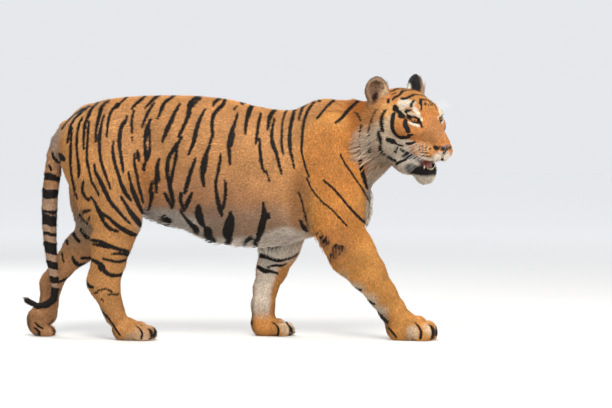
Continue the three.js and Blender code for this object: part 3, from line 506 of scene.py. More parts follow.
# Markings: each line is one stroke through points of "along,up,half width" in millimetres, a stripe, but the
# flank's last two, low behind the near fore paw, are painted shade.
flankStripesAndShade = """
-578,924,3 -606,900,6 -632,874,5 -646,848,5 -654,815,5 -659,780,3
-600,915,2.5 -640,888,4 -668,862,4 -690,834,3
-641,838,3 -643,800,5 -645,760,6 -645,720,6 -643,680,5 -640,650,5 -634,620,6 -628,590,5 -618,560,3
-600,880,3 -613,848,5 -619,815,5 -620,780,6 -618,745,5 -614,712,6 -610,680,7 -612,645,4
-545,938,3 -566,915,6 -577,885,7 -588,855,6 -592,820,6 -592,785,4 -592,755,3
-572,862,2.5 -576,825,5 -577,785,5 -579,745,5 -577,705,6 -568,665,5 -560,628,5 -546,605,4 -532,575,3
-503,946,3 -527,920,7 -534,885,7 -541,852,6 -545,820,5 -545,785,3
-514,888,2.5 -523,855,5 -528,820,7 -530,780,7 -529,745,6 -524,712,6 -513,675,6 -500,640,5 -486,600,4
-466,934,3 -488,905,6 -496,875,6 -500,840,5 -502,800,3
-420,972,3 -442,950,5 -455,935,5 -468,915,3
-549,695,3 -544,665,6 -526,632,8 -510,596,8 -493,560,8 -468,526,7 -438,490,6 -412,465,3
-441,862,4 -448,835,7 -452,800,8 -452,765,7 -446,725,7 -440,690,6 -437,665,3
-424,884,3 -432,860,6 -440,845,5
-476,785,3 -478,755,5 -475,725,7 -467,690,7 -455,652,7 -443,615,8 -430,585,8 -410,555,5
-418,665,3 -411,632,5 -403,598,8 -391,565,10 -380,535,8 -368,505,5
-446,570,3 -432,545,6 -410,508,9 -388,478,11 -374,456,8
-565,570,3 -548,548,6 -536,515,7 -518,480,7 -494,448,8 -458,432,5
-545,538,3 -520,505,6 -492,486,6 -466,462,8 -438,442,9 -408,424,10 -384,410,8
-592,630,3 -598,600,6 -590,575,6 -578,560,7 -570,556,4
-594,510,6 -584,514,8 -570,516,6
-571,490,4 -578,455,5 -580,430,5
-398,905,3 -405,880,5 -405,830,5 -404,818,3
-404,802,4.5 -402,788,3
-340,985,5 -368,955,6 -390,935,6 -410,912,4
-382,748,4 -378,732,8 -378,710,6
-394,735,3 -394,700,6 -388,665,6 -380,645,3
-358,698,5 -357,685,7 -357,668,4
-385,645,3 -376,600,6 -367,562,6 -364,545,3
-284,985,4 -322,953,7 -342,932,6 -355,916,3
-320,935,3 -340,905,6 -354,872,6 -366,840,4
-330,874,3 -342,845,8 -350,812,8 -353,780,6 -351,745,7 -347,715,8 -350,698,4
-336,830,5 -334,800,5 -333,765,5 -335,738,6 -341,718,6
-226,978,3 -255,957,6 -276,940,7 -288,918,8 -298,890,6 -305,874,3
-219,932,3 -236,898,7 -252,862,9 -268,825,9 -284,784,5
-126,980,4 -162,953,7 -180,930,9 -179,905,9 -187,875,8 -202,840,7 -221,803,5
-140,955,5 -158,935,6 -170,920,4
-204,803,4 -224,778,7 -243,750,7 -258,722,8 -264,690,8 -264,655,7 -258,622,8 -250,590,9 -243,560,8 -242,533,4
-214,792,4 -226,755,5 -230,720,7 -238,685,6 -246,650,6 -252,615,6
-118,912,3 -134,880,7 -146,848,8 -153,812,9 -164,772,8 -181,733,4
-295,720,3 -304,692,8 -306,655,8 -310,620,6 -308,583,5
-298,664,4 -297,645,5 -298,625,4
-325,630,3 -331,600,8 -328,570,9 -334,545,6 -343,516,3
-275,582,6 -266,560,7 -254,540,6 -246,522,4
-152,720,3 -164,685,7 -176,650,8 -188,612,9 -194,583,6
-90,807,3 -98,768,6 -112,732,8 -122,702,9 -125,665,9 -122,630,8 -119,610,5
-106,735,5 -110,705,6 -113,668,5
-34,980,4 -48,932,8 -66,912,8 -82,890,8 -88,860,7 -88,830,6 -84,802,3
-60,955,5 -80,941,7 -87,926,5
-54,737,3 -58,698,6 -66,655,6 -74,618,6 -70,585,7 -64,548,8 -56,515,9 -50,493,5
-36,632,5 -34,595,7 -38,560,6 -44,525,7
10,897,3 3,865,6 -8,832,8 -18,800,8 -22,765,8 -19,730,7 -18,693,4
0,815,4 -4,800,5 -12,768,5
88,950,5 60,917,9 51,888,9 44,852,7 41,813,3
12,965,6 25,936,7 42,940,4
8,926,3 -5,910,4
88,935,3 105,921,5 127,922,3
101,895,3 95,865,6 89,825,6 82,776,4
97,797,3 99,755,6 103,715,6 109,685,6 117,663,3
124,672,3 130,650,4 137,628,3
184,930,3 155,906,7 140,888,9 133,862,7 129,830,3
156,874,3 148,840,6 145,802,7 151,770,8 163,742,7 172,705,6 184,658,4
238,930,3 204,906,4 192,880,4 186,842,4 184,800,5 184,768,5 191,733,3
242,925,4 228,882,8 220,845,7 216,810,8 216,775,8 221,742,6 228,712,5 234,682,3
300,950,4 270,921,6 259,895,5 252,870,3
316,945,4 286,901,6 275,868,6 268,830,5 265,790,4 263,750,3.5 270,715,3 281,675,2.5 291,648,2
283,642,2 302,600,3.5 325,570,3 353,540,3.5 378,522,2.5 408,490,2 440,455,1.5
350,632,1.5 382,606,2.5 408,578,3 432,548,4 456,520,5 480,494,5 505,470,5 526,450,4
414,735,1.5 432,700,2.5 455,665,3 478,632,3 500,600,3 515,570,3.5 530,545,3
400,955,3 375,933,5 352,908,4 324,876,3
505,960,5 460,919,7 434,893,7 416,873,6 395,859,3
320,960,6 336,944,5
252,587,2.5 266,545,3 277,500,3 287,452,3
256,474,5 270,448,8 283,430,6
112,548,3 114,520,8 116,490,14 108,462,14 102,435,14 92,412,10 80,390,9 76,372,5
135,505,4 134,488,7
62,408,9 44,396,7 34,380,6
80,380,9 72,366,6
-16,510,5 -16,480,16 -24,450,22 -28,425,20 -24,400,13 -32,384,8
-140,534,8 -142,505,16 -136,480,15 -124,456,8
-108,437,16 -105,412,17 -88,395,13 -78,378,7
-216,518,4 -198,488,6 -176,462,9 -156,442,13 -152,428,9
-280,486,12 -258,470,10
-212,580,8 -212,555,8 -206,530,6 -199,513,4
-167,584,5 -178,560,9 -188,540,8 -191,523,5
500,850,3 493,820,5 492,780,4 490,740,6 494,700,8 502,660,9 512,625,8 521,598,5
472,905,3 490,880,4 498,862,3
-730,742,4 -722,717,6 -700,704,6 -690,706,4
-696,738,6 -684,724,12 -674,716,9
-742,692,4 -735,672,5
452,214,4 474,206,6 498,202,4
520,162,3 540,150,5 552,146,3
566,112,4 584,90,7 600,74,6
608,50,4 624,30,4 638,14,3
"""

hindStripes = """
-566,398,5 -530,393,7 -494,378,8 -458,364,7 -424,354,6
-556,382,5 -520,376,6 -494,368,5
-482,345,4 -450,346,6 -414,338,8
-518,326,4 -486,317,6 -456,313,6 -424,321,5
-568,322,7 -540,310,8 -520,296,9 -512,276,9 -494,262,8 -464,258,7 -442,266,7 -430,288,5
-534,292,7 -526,280,6
-590,236,6 -578,218,8 -560,212,5
-554,188,4 -540,190,3
-526,168,4 -520,158,3
-540,198,2.5 -512,206,3.5 -486,195,2.5
-500,182,3.5 -462,184,3.5
-574,185,4 -550,150,4 -525,115,4 -500,92,4 -480,62,3 -466,40,4 -452,22,3
"""

# Stripes on the inner sides of the legs, as seen through from the right.
innerHindStripes = """
-661,320,5 -653,299,8 -633,288,8 -614,294,6
-626,316,6 -604,316,6 -586,318,6
-712,366,4 -720,342,4
-706,335,4 -698,300,4
-686,383,6 -682,371,5
-665,422,7 -651,399,7 -635,382,6
-628,430,7 -608,404,8 -592,396,5
-716,220,5 -678,239,5
-634,492,5 -612,470,6 -598,452,4
-812,58,3 -798,42,4 -780,32,3
"""

innerForeStripes = """
70,322,8 108,324,9 135,315,8 168,306,7 200,312,5 228,322,4 252,340,4
68,290,6 92,276,8 115,264,9 142,262,6 166,253,4
126,278,4 150,286,5 182,286,5 200,296,3
100,362,3.5 140,360,3.5 180,362,3.5
52,215,4 48,170,5 46,120,6 50,80,7 58,50,8
"""

# The face's strokes lie on its right side: forward and up of the head here, forward and across on the crown.
cheekStripes = """
-98,24,3 -90,17,10 -82,14,11 -72,11,7 -60,10,6 -46,5,8 -34,1,8 -22,-1,5
-114,-3,5 -106,-17,7 -96,-38,7.5 -83,-58,7 -74,-73,5
-90,-76,5 -82,-99,7.5 -76,-117,7 -74,-126,3
-76,-132,5 -79,-152,8 -77,-168,7 -65,-177,8 -48,-184,8 -28,-183,5
-73,-4,7 -60,-18,9 -53,-30,9.5 -46,-44,9.5 -38,-58,9.5 -28,-68,9.5 -14,-76,9 6,-71,7 16,-66,4
-52,-100,10 -40,-103,12
-34,-107,4 -15,-111,4 0,-109,3
-18,-118,2.5 -30,-143,3 -32,-146,7
11,-97,6 24,-92,6 38,-82,4
-10,-5,5 -2,-16,7 4,-24,7 10,-30,6 14,-36,6 18,-46,5
18,-59,4 28,-53,3
-6,-128,6 8,-138,10 22,-150,10
-24,-196,6 -8,-180,6 6,-168,6
46,-88,2 54,-92,2
-134,36,3 -126,26,4
-150,-10,3 -144,-44,5 -138,-80,5 -132,-110,4
-124,-120,3 -122,-150,5 -118,-176,5
82,-109,1.5 98,-104,2 118,-98,1.5
84,-121,1.5 104,-115,2 124,-109,1.5
"""

crownStripes = """
-35,-81,3 -26,-81,5 -16,-78,5 -10,-71,3
-24,-64,4 -31,-59,6 -38,-49,6 -42,-36,4
-40,-11,4 -33,-12,6 -22,-22,6 -13,-29,6 -4,-33,5 6,-40,3
-40,0,2 -30,-2,3 -22,-4,2
-2,-17,5 2,-16,4
2,-5,3 6,-4,2
-14,-8,2 -4,-9,3
-90,-62,4 -76,-54,7 -72,-42,7 -72,-29,7 -75,-6,5 -72,4,4
-116,-66,4 -112,-58,7 -117,-42,7 -123,-27,5
-127,-36,4 -123,-20,9 -119,-4,6 -118,4,5
-121,-75,6 -119,-70,6 -121,-64,5
-168,-48,5 -164,-38,8 -172,-20,7 -176,2,6
-150,-24,4 -146,-10,6 -148,2,5
-144,-62,4 -140,-52,5
"""

# Painted shade in the gaps between the toes, as dark strokes along and up of the body.
toeGapShadeStrokes = """
702,78,1 718,64,3 732,40,5 730,12,5
767,96,1 786,78,3 796,52,5 794,24,5
-392,62,1 -374,48,3 -364,32,4 -368,10,4
-340,66,1 -324,54,3 -316,38,4 -320,16,4
140,64,1 158,52,3 168,34,4.5 164,10,4
188,66,1 202,54,3 212,36,4 210,14,4
-800,44,2 -786,34,4 -778,22,5 -782,6,4
"""

# Rows of dots at the whiskers' roots, and each dark band of the tail's height and half width.
whiskerSpots = [(84, -84), (92, -95), (96, -76), (102, -84), (106, -92), (114, -83), (72, -90), (78, -99)]
tailBands = [(642, 13), (576, 19), (505, 6), (474, 20), (420, 8), (360, 24), (297, 14), (238, 14), (198, 8)]


def strokesFrom(text, broad=1.0, bodily=False):
    strokes = []
    for line in text.strip().splitlines():
        points = np.array([[float(v) for v in spot.split(",")] for spot in line.split()])
        points[:, 2] *= broad
        if bodily:
            least = markingLook["bold" if points[:, 2].max() > 4.5 else "fine"]
            points[:, 2] = np.maximum(points[:, 2], least)
        places = np.arange(len(points))
        between = np.linspace(0, len(points) - 1, 3 * (len(points) - 1) + 1)
        strokes.append(np.stack([smoothTable(places, points[:, n], between) for n in range(3)], axis=1))
    return strokes


# How far a place is from the nearest stroke's edge, in millimetres, and negative within it.
def strokeDistance(places, strokes, farthest=30.0):
    nearest = np.full(len(places), farthest)
    for stroke in strokes:
        reach = farthest + stroke[:, 2].max()
        low, high = stroke[:, :2].min(axis=0) - reach, stroke[:, :2].max(axis=0) + reach
        close = np.nonzero(((places > low) & (places < high)).all(axis=1))[0]
        if not len(close):
            continue
        spot, best = places[close], nearest[close]
        for a, b in zip(stroke, stroke[1:]):
            step = b[:2] - a[:2]
            t = np.clip(((spot - a[:2]) @ step) / max(step @ step, 1e-6), 0, 1)
            apart = np.hypot(*(spot - a[:2] - t[:, None] * step).T)
            best = np.minimum(best, apart - a[2] - (b[2] - a[2]) * t)
        nearest[close] = best
    return nearest


# A slow wavering, from about -1 to 1, over distances of the scale.
def wobble(points, scale, seed):
    rng = np.random.default_rng(seed)
    total = np.zeros(len(points))
    for _ in range(5):
        wave = rng.normal(size=3)
        wave = wave / np.linalg.norm(wave) / scale * rng.uniform(0.6, 1.8)
        total += np.sin(points @ wave + rng.uniform(0, 6.3))
    return total / 2.2


def smoothStep(low, high, value):
    t = np.clip((value - low) / (high - low), 0, 1)
    return t * t * (3 - 2 * t)


legNames = ("foreRight", "foreLeft", "hindRight", "hindLeft")
markingLook = {"wider": 0.4, "rim": 7.0, "headWidth": 0.95, "fine": 3.4, "bold": 4.4, "drift": 9, "sway": 3,
               "worn": (4.7, 4.8, 1.9)}  # half widths in millimetres, but headWidth is a share


# Stripes, and painted shade between the toes and low behind the near fore paw, as distances to their edges.
def stripesAndShadeAt(points, normals, weights):
    side = points[:, [0, 2]].copy()
    leftSide = points[:, 1] > 0
    drift = np.stack([wobble(points, 60, 3), wobble(points, 60, 4)], axis=1) * markingLook["drift"]
    side[leftSide] += drift[leftSide]
    legs = {name: weights[name] for name in legNames}
    inward = {name: normals[:, 1] * (1 if "Right" in name else -1) for name in legs}
    flank = strokeDistance(side, strokesFrom(flankStripesAndShade, bodily=True))
    hind = strokeDistance(side, strokesFrom(hindStripes, bodily=True))
    leftHind = side - np.array([-190, -10])
    hindFar = strokeDistance(leftHind, strokesFrom(hindStripes))
    inHind = strokeDistance(points[:, [0, 2]], strokesFrom(innerHindStripes))
    inFore = strokeDistance(points[:, [0, 2]], strokesFrom(innerForeStripes))
    mirroredFore = points[:, [0, 2]] * [0.75, 1] + [-190, 10]
    inForeRight = strokeDistance(mirroredFore, strokesFrom(innerForeStripes))
    low = points[:, 2]
    body = flank.copy()
    innerSide = {name: smoothStep(0.1, 0.35, inward[name]) for name in legs}

    def use(mask, value):
        body[:] = np.where(mask, value, body)

    use(weights["hindRight"] > 0.5, np.where(low < 415, hind, flank))
    use(weights["hindLeft"] > 0.5, np.where(low < 415, hindFar, flank))
    use((weights["hindLeft"] > 0.5) & (innerSide["hindLeft"] > 0.5) & (low < 520), inHind)
    use((weights["hindRight"] > 0.5) & (innerSide["hindRight"] > 0.5) & (low < 520), inHind + 2)
    use((weights["foreLeft"] > 0.5) & (low < 380), inFore)
    use((weights["foreLeft"] > 0.5) & (innerSide["foreLeft"] < 0.5) & (low < 380), 30)
    use((weights["foreRight"] > 0.5) & (innerSide["foreRight"] > 0.5) & (low < 440), inForeRight)
    # Dark speckle in the worn patches. Low behind the near fore paw it is painted shade.
    worn = np.max([zoneWeight(points, at, radii) * amount for at, radii, amount in wornAndShadedPatches], axis=0)
    start, depth, speckle = markingLook["worn"]
    body[:] = np.minimum(body, start - depth * worn + speckle * wobble(points, 3.2, 41))
    # Painted shade in the gaps between the toes, drawn as dark strokes on the feet.
    onFoot = (low < 110) & (np.max(list(legs.values()), axis=0) > 0.5)
    toes = strokeDistance(side, strokesFrom(toeGapShadeStrokes))
    use(onFoot, np.minimum(body, toes))

    head = intoHead(points)
    mirrored = folded(head) * [1, -1, 1]  # onto the right half, where the face's strokes are
    sway = np.stack([wobble(head, 30, 8), wobble(head, 30, 9)], axis=1) * markingLook["sway"]
    sway[head[:, 1] < 0] = 0
    cheek = strokeDistance(mirrored[:, [0, 2]] + sway, strokesFrom(cheekStripes, markingLook["headWidth"]))
    crown = strokeDistance(mirrored[:, [0, 1]] + sway, strokesFrom(crownStripes, markingLook["headWidth"]))
    spots = np.min([np.hypot(mirrored[:, 0] - f, mirrored[:, 2] - u) for f, u in whiskerSpots], axis=0) - 3.0
    cheek = np.where(mirrored[:, 1] < -18, cheek, 30)
    cheek = np.minimum(cheek, np.where((mirrored[:, 1] < -34) & (weights["jaw"] < 0.4), spots, 30))
    crown = np.where(head[:, 2] > 14, crown, 30)
    onHead = weights["head"] + weights["jaw"]
    face = np.minimum(cheek, crown)
    result = np.where(onHead > 0.5, face, body)
    result = np.where((weights["neck"] > 0.05) & (head[:, 0] > -160), np.minimum(face, body), result)
    rise = points[:, 2] + 0.25 * (points[:, 0] + 740) + 6 * wobble(points, 24, 31) + 2 * wobble(points, 9, 32)
    bands = np.min([np.abs(rise - z) - h for z, h in tailBands], axis=0)
    tip = np.where((points[:, 2] < 190) & (points[:, 0] < -700), -10, 30)
    tail = np.where(points[:, 2] > 665, body, np.minimum(bands, tip))
    return np.where(weights["tail"] > 0.5, tail, result) - markingLook["wider"]


# Ground colours, as they look, from 0 to 255.
groundColour = {
    "trunk": (209, 149, 93), "neck": (186, 110, 42), "foreRight": (222, 154, 80), "foreLeft": (214, 146, 78),
    "hindRight": (204, 144, 85), "hindLeft": (194, 140, 94), "head": (200, 130, 70), "jaw": (222, 208, 186),
    "earRight": (40, 32, 28), "earLeft": (40, 32, 28), "tail": (186, 150, 122),
}

# Soft zones of colour: frame, place, radii, colour, strength; the head's are on both sides.
bodyZones = [
    ((-60, 0, 990), (640, 130, 70), (216, 152, 90), 0.8),  # along the back
    ((-120, 0, 560), (330, 260, 130), (176, 126, 90), 0.8),  # low flank
    ((0, 0, 470), (330, 260, 90), (158, 130, 108), 0.8),
    ((40, 0, 362), (420, 150, 62), (226, 212, 198), 1.0),  # belly
    ((200, -60, 395), (130, 190, 46), (224, 208, 192), 1.0),  # behind the elbow
    ((-290, 0, 470), (150, 130, 74), (190, 180, 172), 1.0),  # groin
    ((395, -190, 700), (150, 120, 170), (208, 134, 64), 0.9),  # near shoulder
    ((395, 190, 700), (150, 120, 170), (208, 134, 64), 0.9),
    ((250, -190, 520), (40, 120, 130), (164, 112, 68), 0.7),  # crease behind the shoulder, painted shade
    ((430, -190, 480), (120, 110, 120), (208, 136, 64), 0.9),
    ((545, 0, 560), (46, 70, 130), (220, 200, 178), 0.9),  # breast
    ((560, -40, 640), (50, 80, 90), (196, 178, 158), 0.8),  # throat
    ((-690, 0, 760), (60, 60, 110), (176, 160, 146), 0.9),  # under the root of the tail
    ((-640, 0, 560), (60, 70, 140), (170, 158, 148), 0.9),  # back of the thighs
    ((-350, -200, 640), (60, 90, 120), (198, 126, 62), 0.6),
    ((-220, 0, 470), (170, 150, 56), (196, 184, 172), 0.95),  # along the groin
    ((-60, -150, 440), (110, 70, 60), (156, 132, 112), 0.7),
    ((-622, 0, 872), (100, 130, 80), (232, 172, 110), 0.85),  # root of the tail
    ((-735, 0, 690), (60, 60, 90), (196, 142, 94), 0.9),
    ((380, -200, 366), (70, 60, 84), (186, 122, 70), 0.6),  # round the worn patch behind the elbow
    ((430, -104, 268), (34, 80, 44), (200, 162, 126), 0.8),  # pale edge behind the near forearm
    ((484, -104, 214), (42, 80, 42), (206, 184, 158), 0.9),
    ((532, -104, 164), (42, 80, 42), (208, 190, 168), 0.9),
    ((576, -104, 116), (42, 80, 42), (208, 190, 170), 0.9),
    ((700, -150, 40), (20, 60, 34), (232, 202, 170), 0.9),  # pale tips of the toes
    ((758, -120, 46), (22, 80, 36), (232, 202, 170), 0.9),
    ((816, -104, 44), (20, 80, 40), (232, 202, 170), 0.9),
    ((206, 100, 38), (44, 80, 36), (236, 204, 168), 0.9),
    ((-360, -104, 24), (60, 80, 40), (212, 180, 148), 0.7),
]
headZones = [
    ((-60, 0, 70), (110, 80, 50), (214, 148, 80), 0.9),  # forehead and crown
    ((60, 0, -30), (80, 40, 44), (186, 126, 76), 1.0),  # nose bridge
    ((84, 44, -48), (44, 20, 26), (172, 116, 68), 0.8),  # beside the nose
    ((-10, 100, -36), (50, 44, 34), (212, 140, 74), 0.9),  # under the eye
    ((-80, 104, 6), (60, 50, 34), (224, 166, 100), 0.9),  # temple
    ((-56, 66, 42), (30, 26, 22), (250, 236, 212), 1.0),  # over the eye
    ((-42, 84, 16), (30, 14, 12), (238, 212, 176), 1.0),
    ((-30, 48, 54), (14, 12, 12), (240, 224, 200), 0.9),
    ((-2, 60, 34), (14, 11, 15), (240, 224, 200), 1.0),
    ((14, 58, 22), (12, 11, 12), (240, 224, 200), 1.0),
    ((26, 50, 6), (10, 10, 12), (236, 218, 194), 0.9),
    ((-4, 76, 21), (34, 14, 6), (238, 214, 180), 0.9),  # along the upper lid
    ((8, 74, -13), (30, 16, 6.5), (244, 230, 210), 1.0),  # under the eye
    ((24, 62, -18), (14, 12, 5), (240, 224, 200), 1.0),
    ((-82, 120, -96), (62, 64, 62), (196, 174, 148), 1.0),  # cheek
    ((-62, 120, -36), (16, 40, 50), (206, 180, 146), 0.8),
    ((-30, 84, -132), (66, 60, 48), (210, 194, 172), 1.0),
    ((-110, 120, -130), (60, 60, 80), (202, 182, 158), 0.9),  # ruff
    ((-146, 150, -150), (44, 60, 80), (232, 216, 194), 0.9),
    ((-160, 116, -50), (50, 60, 70), (206, 148, 90), 0.9),
    ((10, 88, -88), (40, 30, 10), (226, 208, 184), 1.0),
    ((92, 56, -86), (44, 34, 20), (210, 146, 82), 0.95),  # whisker pad
    ((60, 80, -100), (14, 20, 20), (226, 190, 150), 0.8),
    ((100, 50, -112), (52, 40, 10), (214, 160, 108), 0.9),
    ((108, 30, -124), (48, 50, 8), (240, 226, 206), 1.0),  # upper lip
    ((128, 0, -112), (26, 44, 24), (232, 216, 198), 1.0),  # front of the lips
    ((60, 0, -240), (90, 70, 44), (226, 212, 192), 1.0),  # chin
    ((-10, 66, -190), (90, 50, 56), (206, 192, 172), 0.95),  # under the jaw's angle
    ((-90, 60, -200), (70, 90, 60), (176, 158, 136), 0.85),  # throat
]
earZones = [
    ((8, 0, 0), (44, 46, 56), (158, 124, 98), 1.0),  # inside, its brown partly painted shade
    ((0, 2, 0), (40, 28, 40), (118, 86, 64), 0.9),
    ((0, 2, -26), (40, 17, 28), (42, 24, 17), 1.0),  # its depth, painted shade
    ((14, 34, -14), (30, 14, 40), (200, 168, 134), 0.8),  # its front edge
]
# Dark zones: the lips' own black, and painted shade in and under the nostrils.
darkZones = [
    ((126, 0, -76), (24, 28, 16), 1.0),  # under the nose pad, painted shade seen through the nostrils
    ((124, 34, -76), (20, 10, 9), 1.0),  # slit of the nostril, painted shade in it
    ((132, 0, -98), (14, 3, 12), 1.0),
    ((127, 6, -124), (10, 9, 6), 1.0),
    ((38, 50, -192), (40, 26, 20), 1.0),  # lower lip
    ((70, 34, -190), (46, 26, 17), 1.0),
    ((84, 10, -188), (22, 26, 16), 1.0),
    ((8, 60, -150), (26, 20, 14), 1.0),  # corner of the mouth
]
tearLine = [(12, -69, 15), (22, -52, -2), (34, -49, -12), (44, -49, -20)]  # dark, from the corner of the eye
# Worn, speckled places, but the last is painted shade low behind the near fore paw: place, radii, strength.
wornAndShadedPatches = [((332, -205, 426), (17, 60, 24), 0.8), ((352, -205, 396), (24, 60, 30), 1.0),
               ((404, -200, 362), (36, 60, 24), 1.0), ((378, -200, 330), (24, 60, 22), 0.9),
               ((318, -200, 362), (18, 60, 12), 0.7), ((588, -150, 74), (30, 40, 40), 0.6)]
# Painted shade in the gaps between the toes: each paw's place, turn, and how far apart its toes are.
toeGapShadeBands = {"foreRight": ((646, -104, 0), -3, 1.0), "foreLeft": ((100, 108, 0), 4, 0.96),
           "hindRight": ((-446, -104, 0), -3, 0.88), "hindLeft": ((-830, 108, 0), 3, 0.88)}
# Heights, and how far forward the middle of the leg is at each.
legMiddle = {"foreRight": ((70, 184, 344, 450), (640, 580, 462, 406)),
             "foreLeft": ((66, 192, 356, 448), (108, 116, 172, 202))}


def fromLook(colour):
    value = np.asarray(colour, float) / 255
    return np.where(value <= 0.04045, value / 12.92, ((value + 0.055) / 1.055) ** 2.4)


def zoneWeight(points, at, radii, soft=0.35):
    far = np.sqrt((((points - np.array(at)) / np.array(radii)) ** 2).sum(axis=1))
    return 1 - smoothStep(1 - soft, 1 + soft, far)


def coloursAt(points, normals, weights):
    colour = sum(np.multiply.outer(weights[name], fromLook(value)) for name, value in groundColour.items())

    def tint(weight, look):
        colour[:] += weight[:, None] * (fromLook(look) - colour)

    legs = {name: weights[name] for name in legNames}
    shaken = points + 14 * wobble(points, 40, 5)[:, None]
    # Zones of colour on the body. The one in the crease behind the shoulder is painted shade.
    for at, radii, look, strength in bodyZones:
        tint(zoneWeight(shaken, at, radii) * strength * (weights["head"] < 0.5), look)
    for name, weight in legs.items():
        inward = normals[:, 1] * (1 if "Right" in name else -1)
        height = points[:, 2]
        pale = smoothStep(0.0, 0.55, inward) * smoothStep(0.4, 0.8, weight)
        pale = pale * smoothStep(560, 470, height) * smoothStep(60, 130, height)
        if "fore" in name:
            middle = np.interp(height, *legMiddle[name])
            pale *= smoothStep(34, 14, points[:, 0] - middle)
        if "hind" in name:
            pale *= smoothStep(330, 470, height)
        tint(pale * 0.85, (244, 230, 212) if "fore" in name else (190, 168, 144))
        # The backs of the lower legs darker: painted shade.
        rearShade = smoothStep(10, 40, height) * smoothStep(250, 120, height)
        rearShade = rearShade * smoothStep(-0.5, -0.9, normals[:, 0])
        tint(rearShade * smoothStep(0.4, 0.8, weight) * 0.5, (70, 52, 40))
    # Worn patches browned. The one low behind the near fore paw is painted shade.
    for at, radii, amount in wornAndShadedPatches:
        tint(zoneWeight(points, at, radii) * amount * 0.6, (136, 88, 58))
    # Painted shade in the gaps between the toes.
    for name, (at, yaw, width) in toeGapShadeBands.items():
        inPaw = (points - np.array(at)) @ turnMatrix(yaw=yaw)
        gaps = np.min([np.abs(inPaw[:, 1] - across * width) for across in (-33, 0, 33)], axis=0)
        low = smoothStep(84, 60, inPaw[:, 2]) * smoothStep(52, 70, inPaw[:, 0]) * (legs[name] > 0.5)
        tint(smoothStep(5.5, 2.5, gaps) * low, (36, 26, 20))
    head = intoHead(points)
    mirrored = folded(head)
    onHead = np.clip(weights["head"] + weights["jaw"] + 0.6 * weights["neck"], 0, 1)
    for at, radii, look, strength in headZones:
        tint(zoneWeight(mirrored, at, radii) * strength * onHead, look)
    rim = markingLook["rim"] + 4 * smoothStep(0, 8, mirrored[:, 2])
    dark = near(mirrored, (4, 64, 0), 40) * smoothStep(1.2, 0, eyeRim(mirrored) - rim)
    tint(dark * onHead, (18, 13, 12))
    # Black lips, and painted shade in and under the nostrils.
    for at, radii, strength in darkZones:
        tint(zoneWeight(mirrored, at, radii, 0.2) * strength * onHead, (26, 18, 16))
    line = np.array(tearLine, float) * [1, -1, 1]
    for a, b in zip(line, line[1:]):
        t = np.clip((mirrored - a) @ (b - a) / ((b - a) @ (b - a)), 0, 1)
        apart = np.linalg.norm(mirrored - a - t[:, None] * (b - a), axis=1)
        tint(smoothStep(7, 4, apart) * onHead, (24, 16, 13))
    for side, word in ((-1, "Right"), (1, "Left")):
        inEar = intoEar(head, side)
        onEar = smoothStep(0.12, 0.45, weights["ear" + word])
        facing = (normals @ headTurn @ turnMatrix(**earShape["right" if side < 0 else "left"]))[:, 0]
        tint(onEar * smoothStep(0.3, -0.1, facing), (30, 26, 27))
        within = np.maximum(onEar, zoneWeight(inEar, (12, 2, -18), (26, 26, 40)))
        within = within * smoothStep(-0.1, 0.4, facing)
        # The inside of the ear: its own colour, browned towards its depth by painted shade.
        for at, radii, look, strength in earZones:
            tint(zoneWeight(inEar * [1, side * -1, 1], at, radii) * strength * within, look)
        tint(zoneWeight(inEar, (-26, 0, 0), (24, 20, 20), 0.2) * onEar, (236, 228, 212))  # spot on its back
    return colour


def intoEar(head, side):
    at = np.array([earShape["at"][0], side * earShape["at"][1], earShape["at"][2]])
    return (head - at) @ turnMatrix(**earShape["right" if side < 0 else "left"])


# The skin is a mesh of the soft shapes, drawn in by the depth of the coat.
def makeSkin(closer):
    low, high = np.array(skinMesh["low"]), np.array(skinMesh["high"])
    axes = [np.arange(l, h, skinMesh["cell"], dtype=np.float32) for l, h in zip(low, high)]
    grid = openvdb.FloatGrid(background=farAway)
    grid.copyFromArray(onGrid(bodySteps(False), axes))
    corners, quads = grid.convertToQuads(isovalue=-5.0)
    points = corners.astype(float) * skinMesh["cell"] + low
    faces = [list(map(int, quad)) for quad in quads]
    steps = bodySteps(True)
    points = settled(points, steps, depthAt(points))
    for level in (0, 1):
        chosen = fineAreas(points)[level]
        if closer and level == 0:  # along the edges of the body's stripes too
            stripesAndShade = stripesAndShadeAt(points, outwardAt(steps, points), regionWeights(points))
            chosen = chosen | (np.abs(stripesAndShade) < skinMesh["edge"])
        points, faces = divide(points, faces, chosen)
        points = settled(points, steps, depthAt(points), passes=4)
    depth = depthAt(points)
    points = relaxed(points, faces, steps, depth)
    points[:, 2] = np.maximum(points[:, 2], skinMesh["sole"])
    return points, faces, outwardAt(steps, points)


def meshObject(name, points, faces, smooth=True):
    mesh = bpy.data.meshes.new(name)
    mesh.from_pydata([tuple(p) for p in points], [], [tuple(f) for f in faces])
    if smooth:
        mesh.shade_smooth()
    piece = bpy.data.objects.new(name, mesh)
    scene.collection.objects.link(piece)
    return piece


def store(piece, name, values, kind="FLOAT", domain="POINT"):
    layer = piece.data.attributes.new(name, kind, domain)
    field = {"FLOAT": "value", "FLOAT_VECTOR": "vector", "FLOAT_COLOR": "color"}[kind]
    values = np.asarray(values, np.float32)
    if kind == "FLOAT_COLOR":
        values = np.concatenate([values, np.ones((len(values), 1), np.float32)], axis=1)
    layer.data.foreach_set(field, values.ravel())


def unwrap(piece):
    bpy.ops.object.select_all(action="DESELECT")
    bpy.context.view_layer.objects.active = piece
    piece.select_set(True)
    bpy.ops.object.mode_set(mode="EDIT")
    bpy.ops.mesh.select_all(action="SELECT")
    bpy.ops.uv.smart_project(angle_limit=math.radians(66), island_margin=0.001)
    bpy.ops.object.mode_set(mode="OBJECT")
    piece.data.uv_layers[0].name = "OFBake"


# The way the hair lies on each region but the head and ears, in the body's frame.
lieOf = {"trunk": (-0.92, 0, -0.38), "neck": (-0.72, 0, -0.68), "foreRight": (0.12, 0, -1),
         "foreLeft": (-0.2, 0, -1), "hindRight": (-0.3, 0, -0.95), "hindLeft": (-0.45, 0, -0.9),
         "tail": (0, 0, -1)}


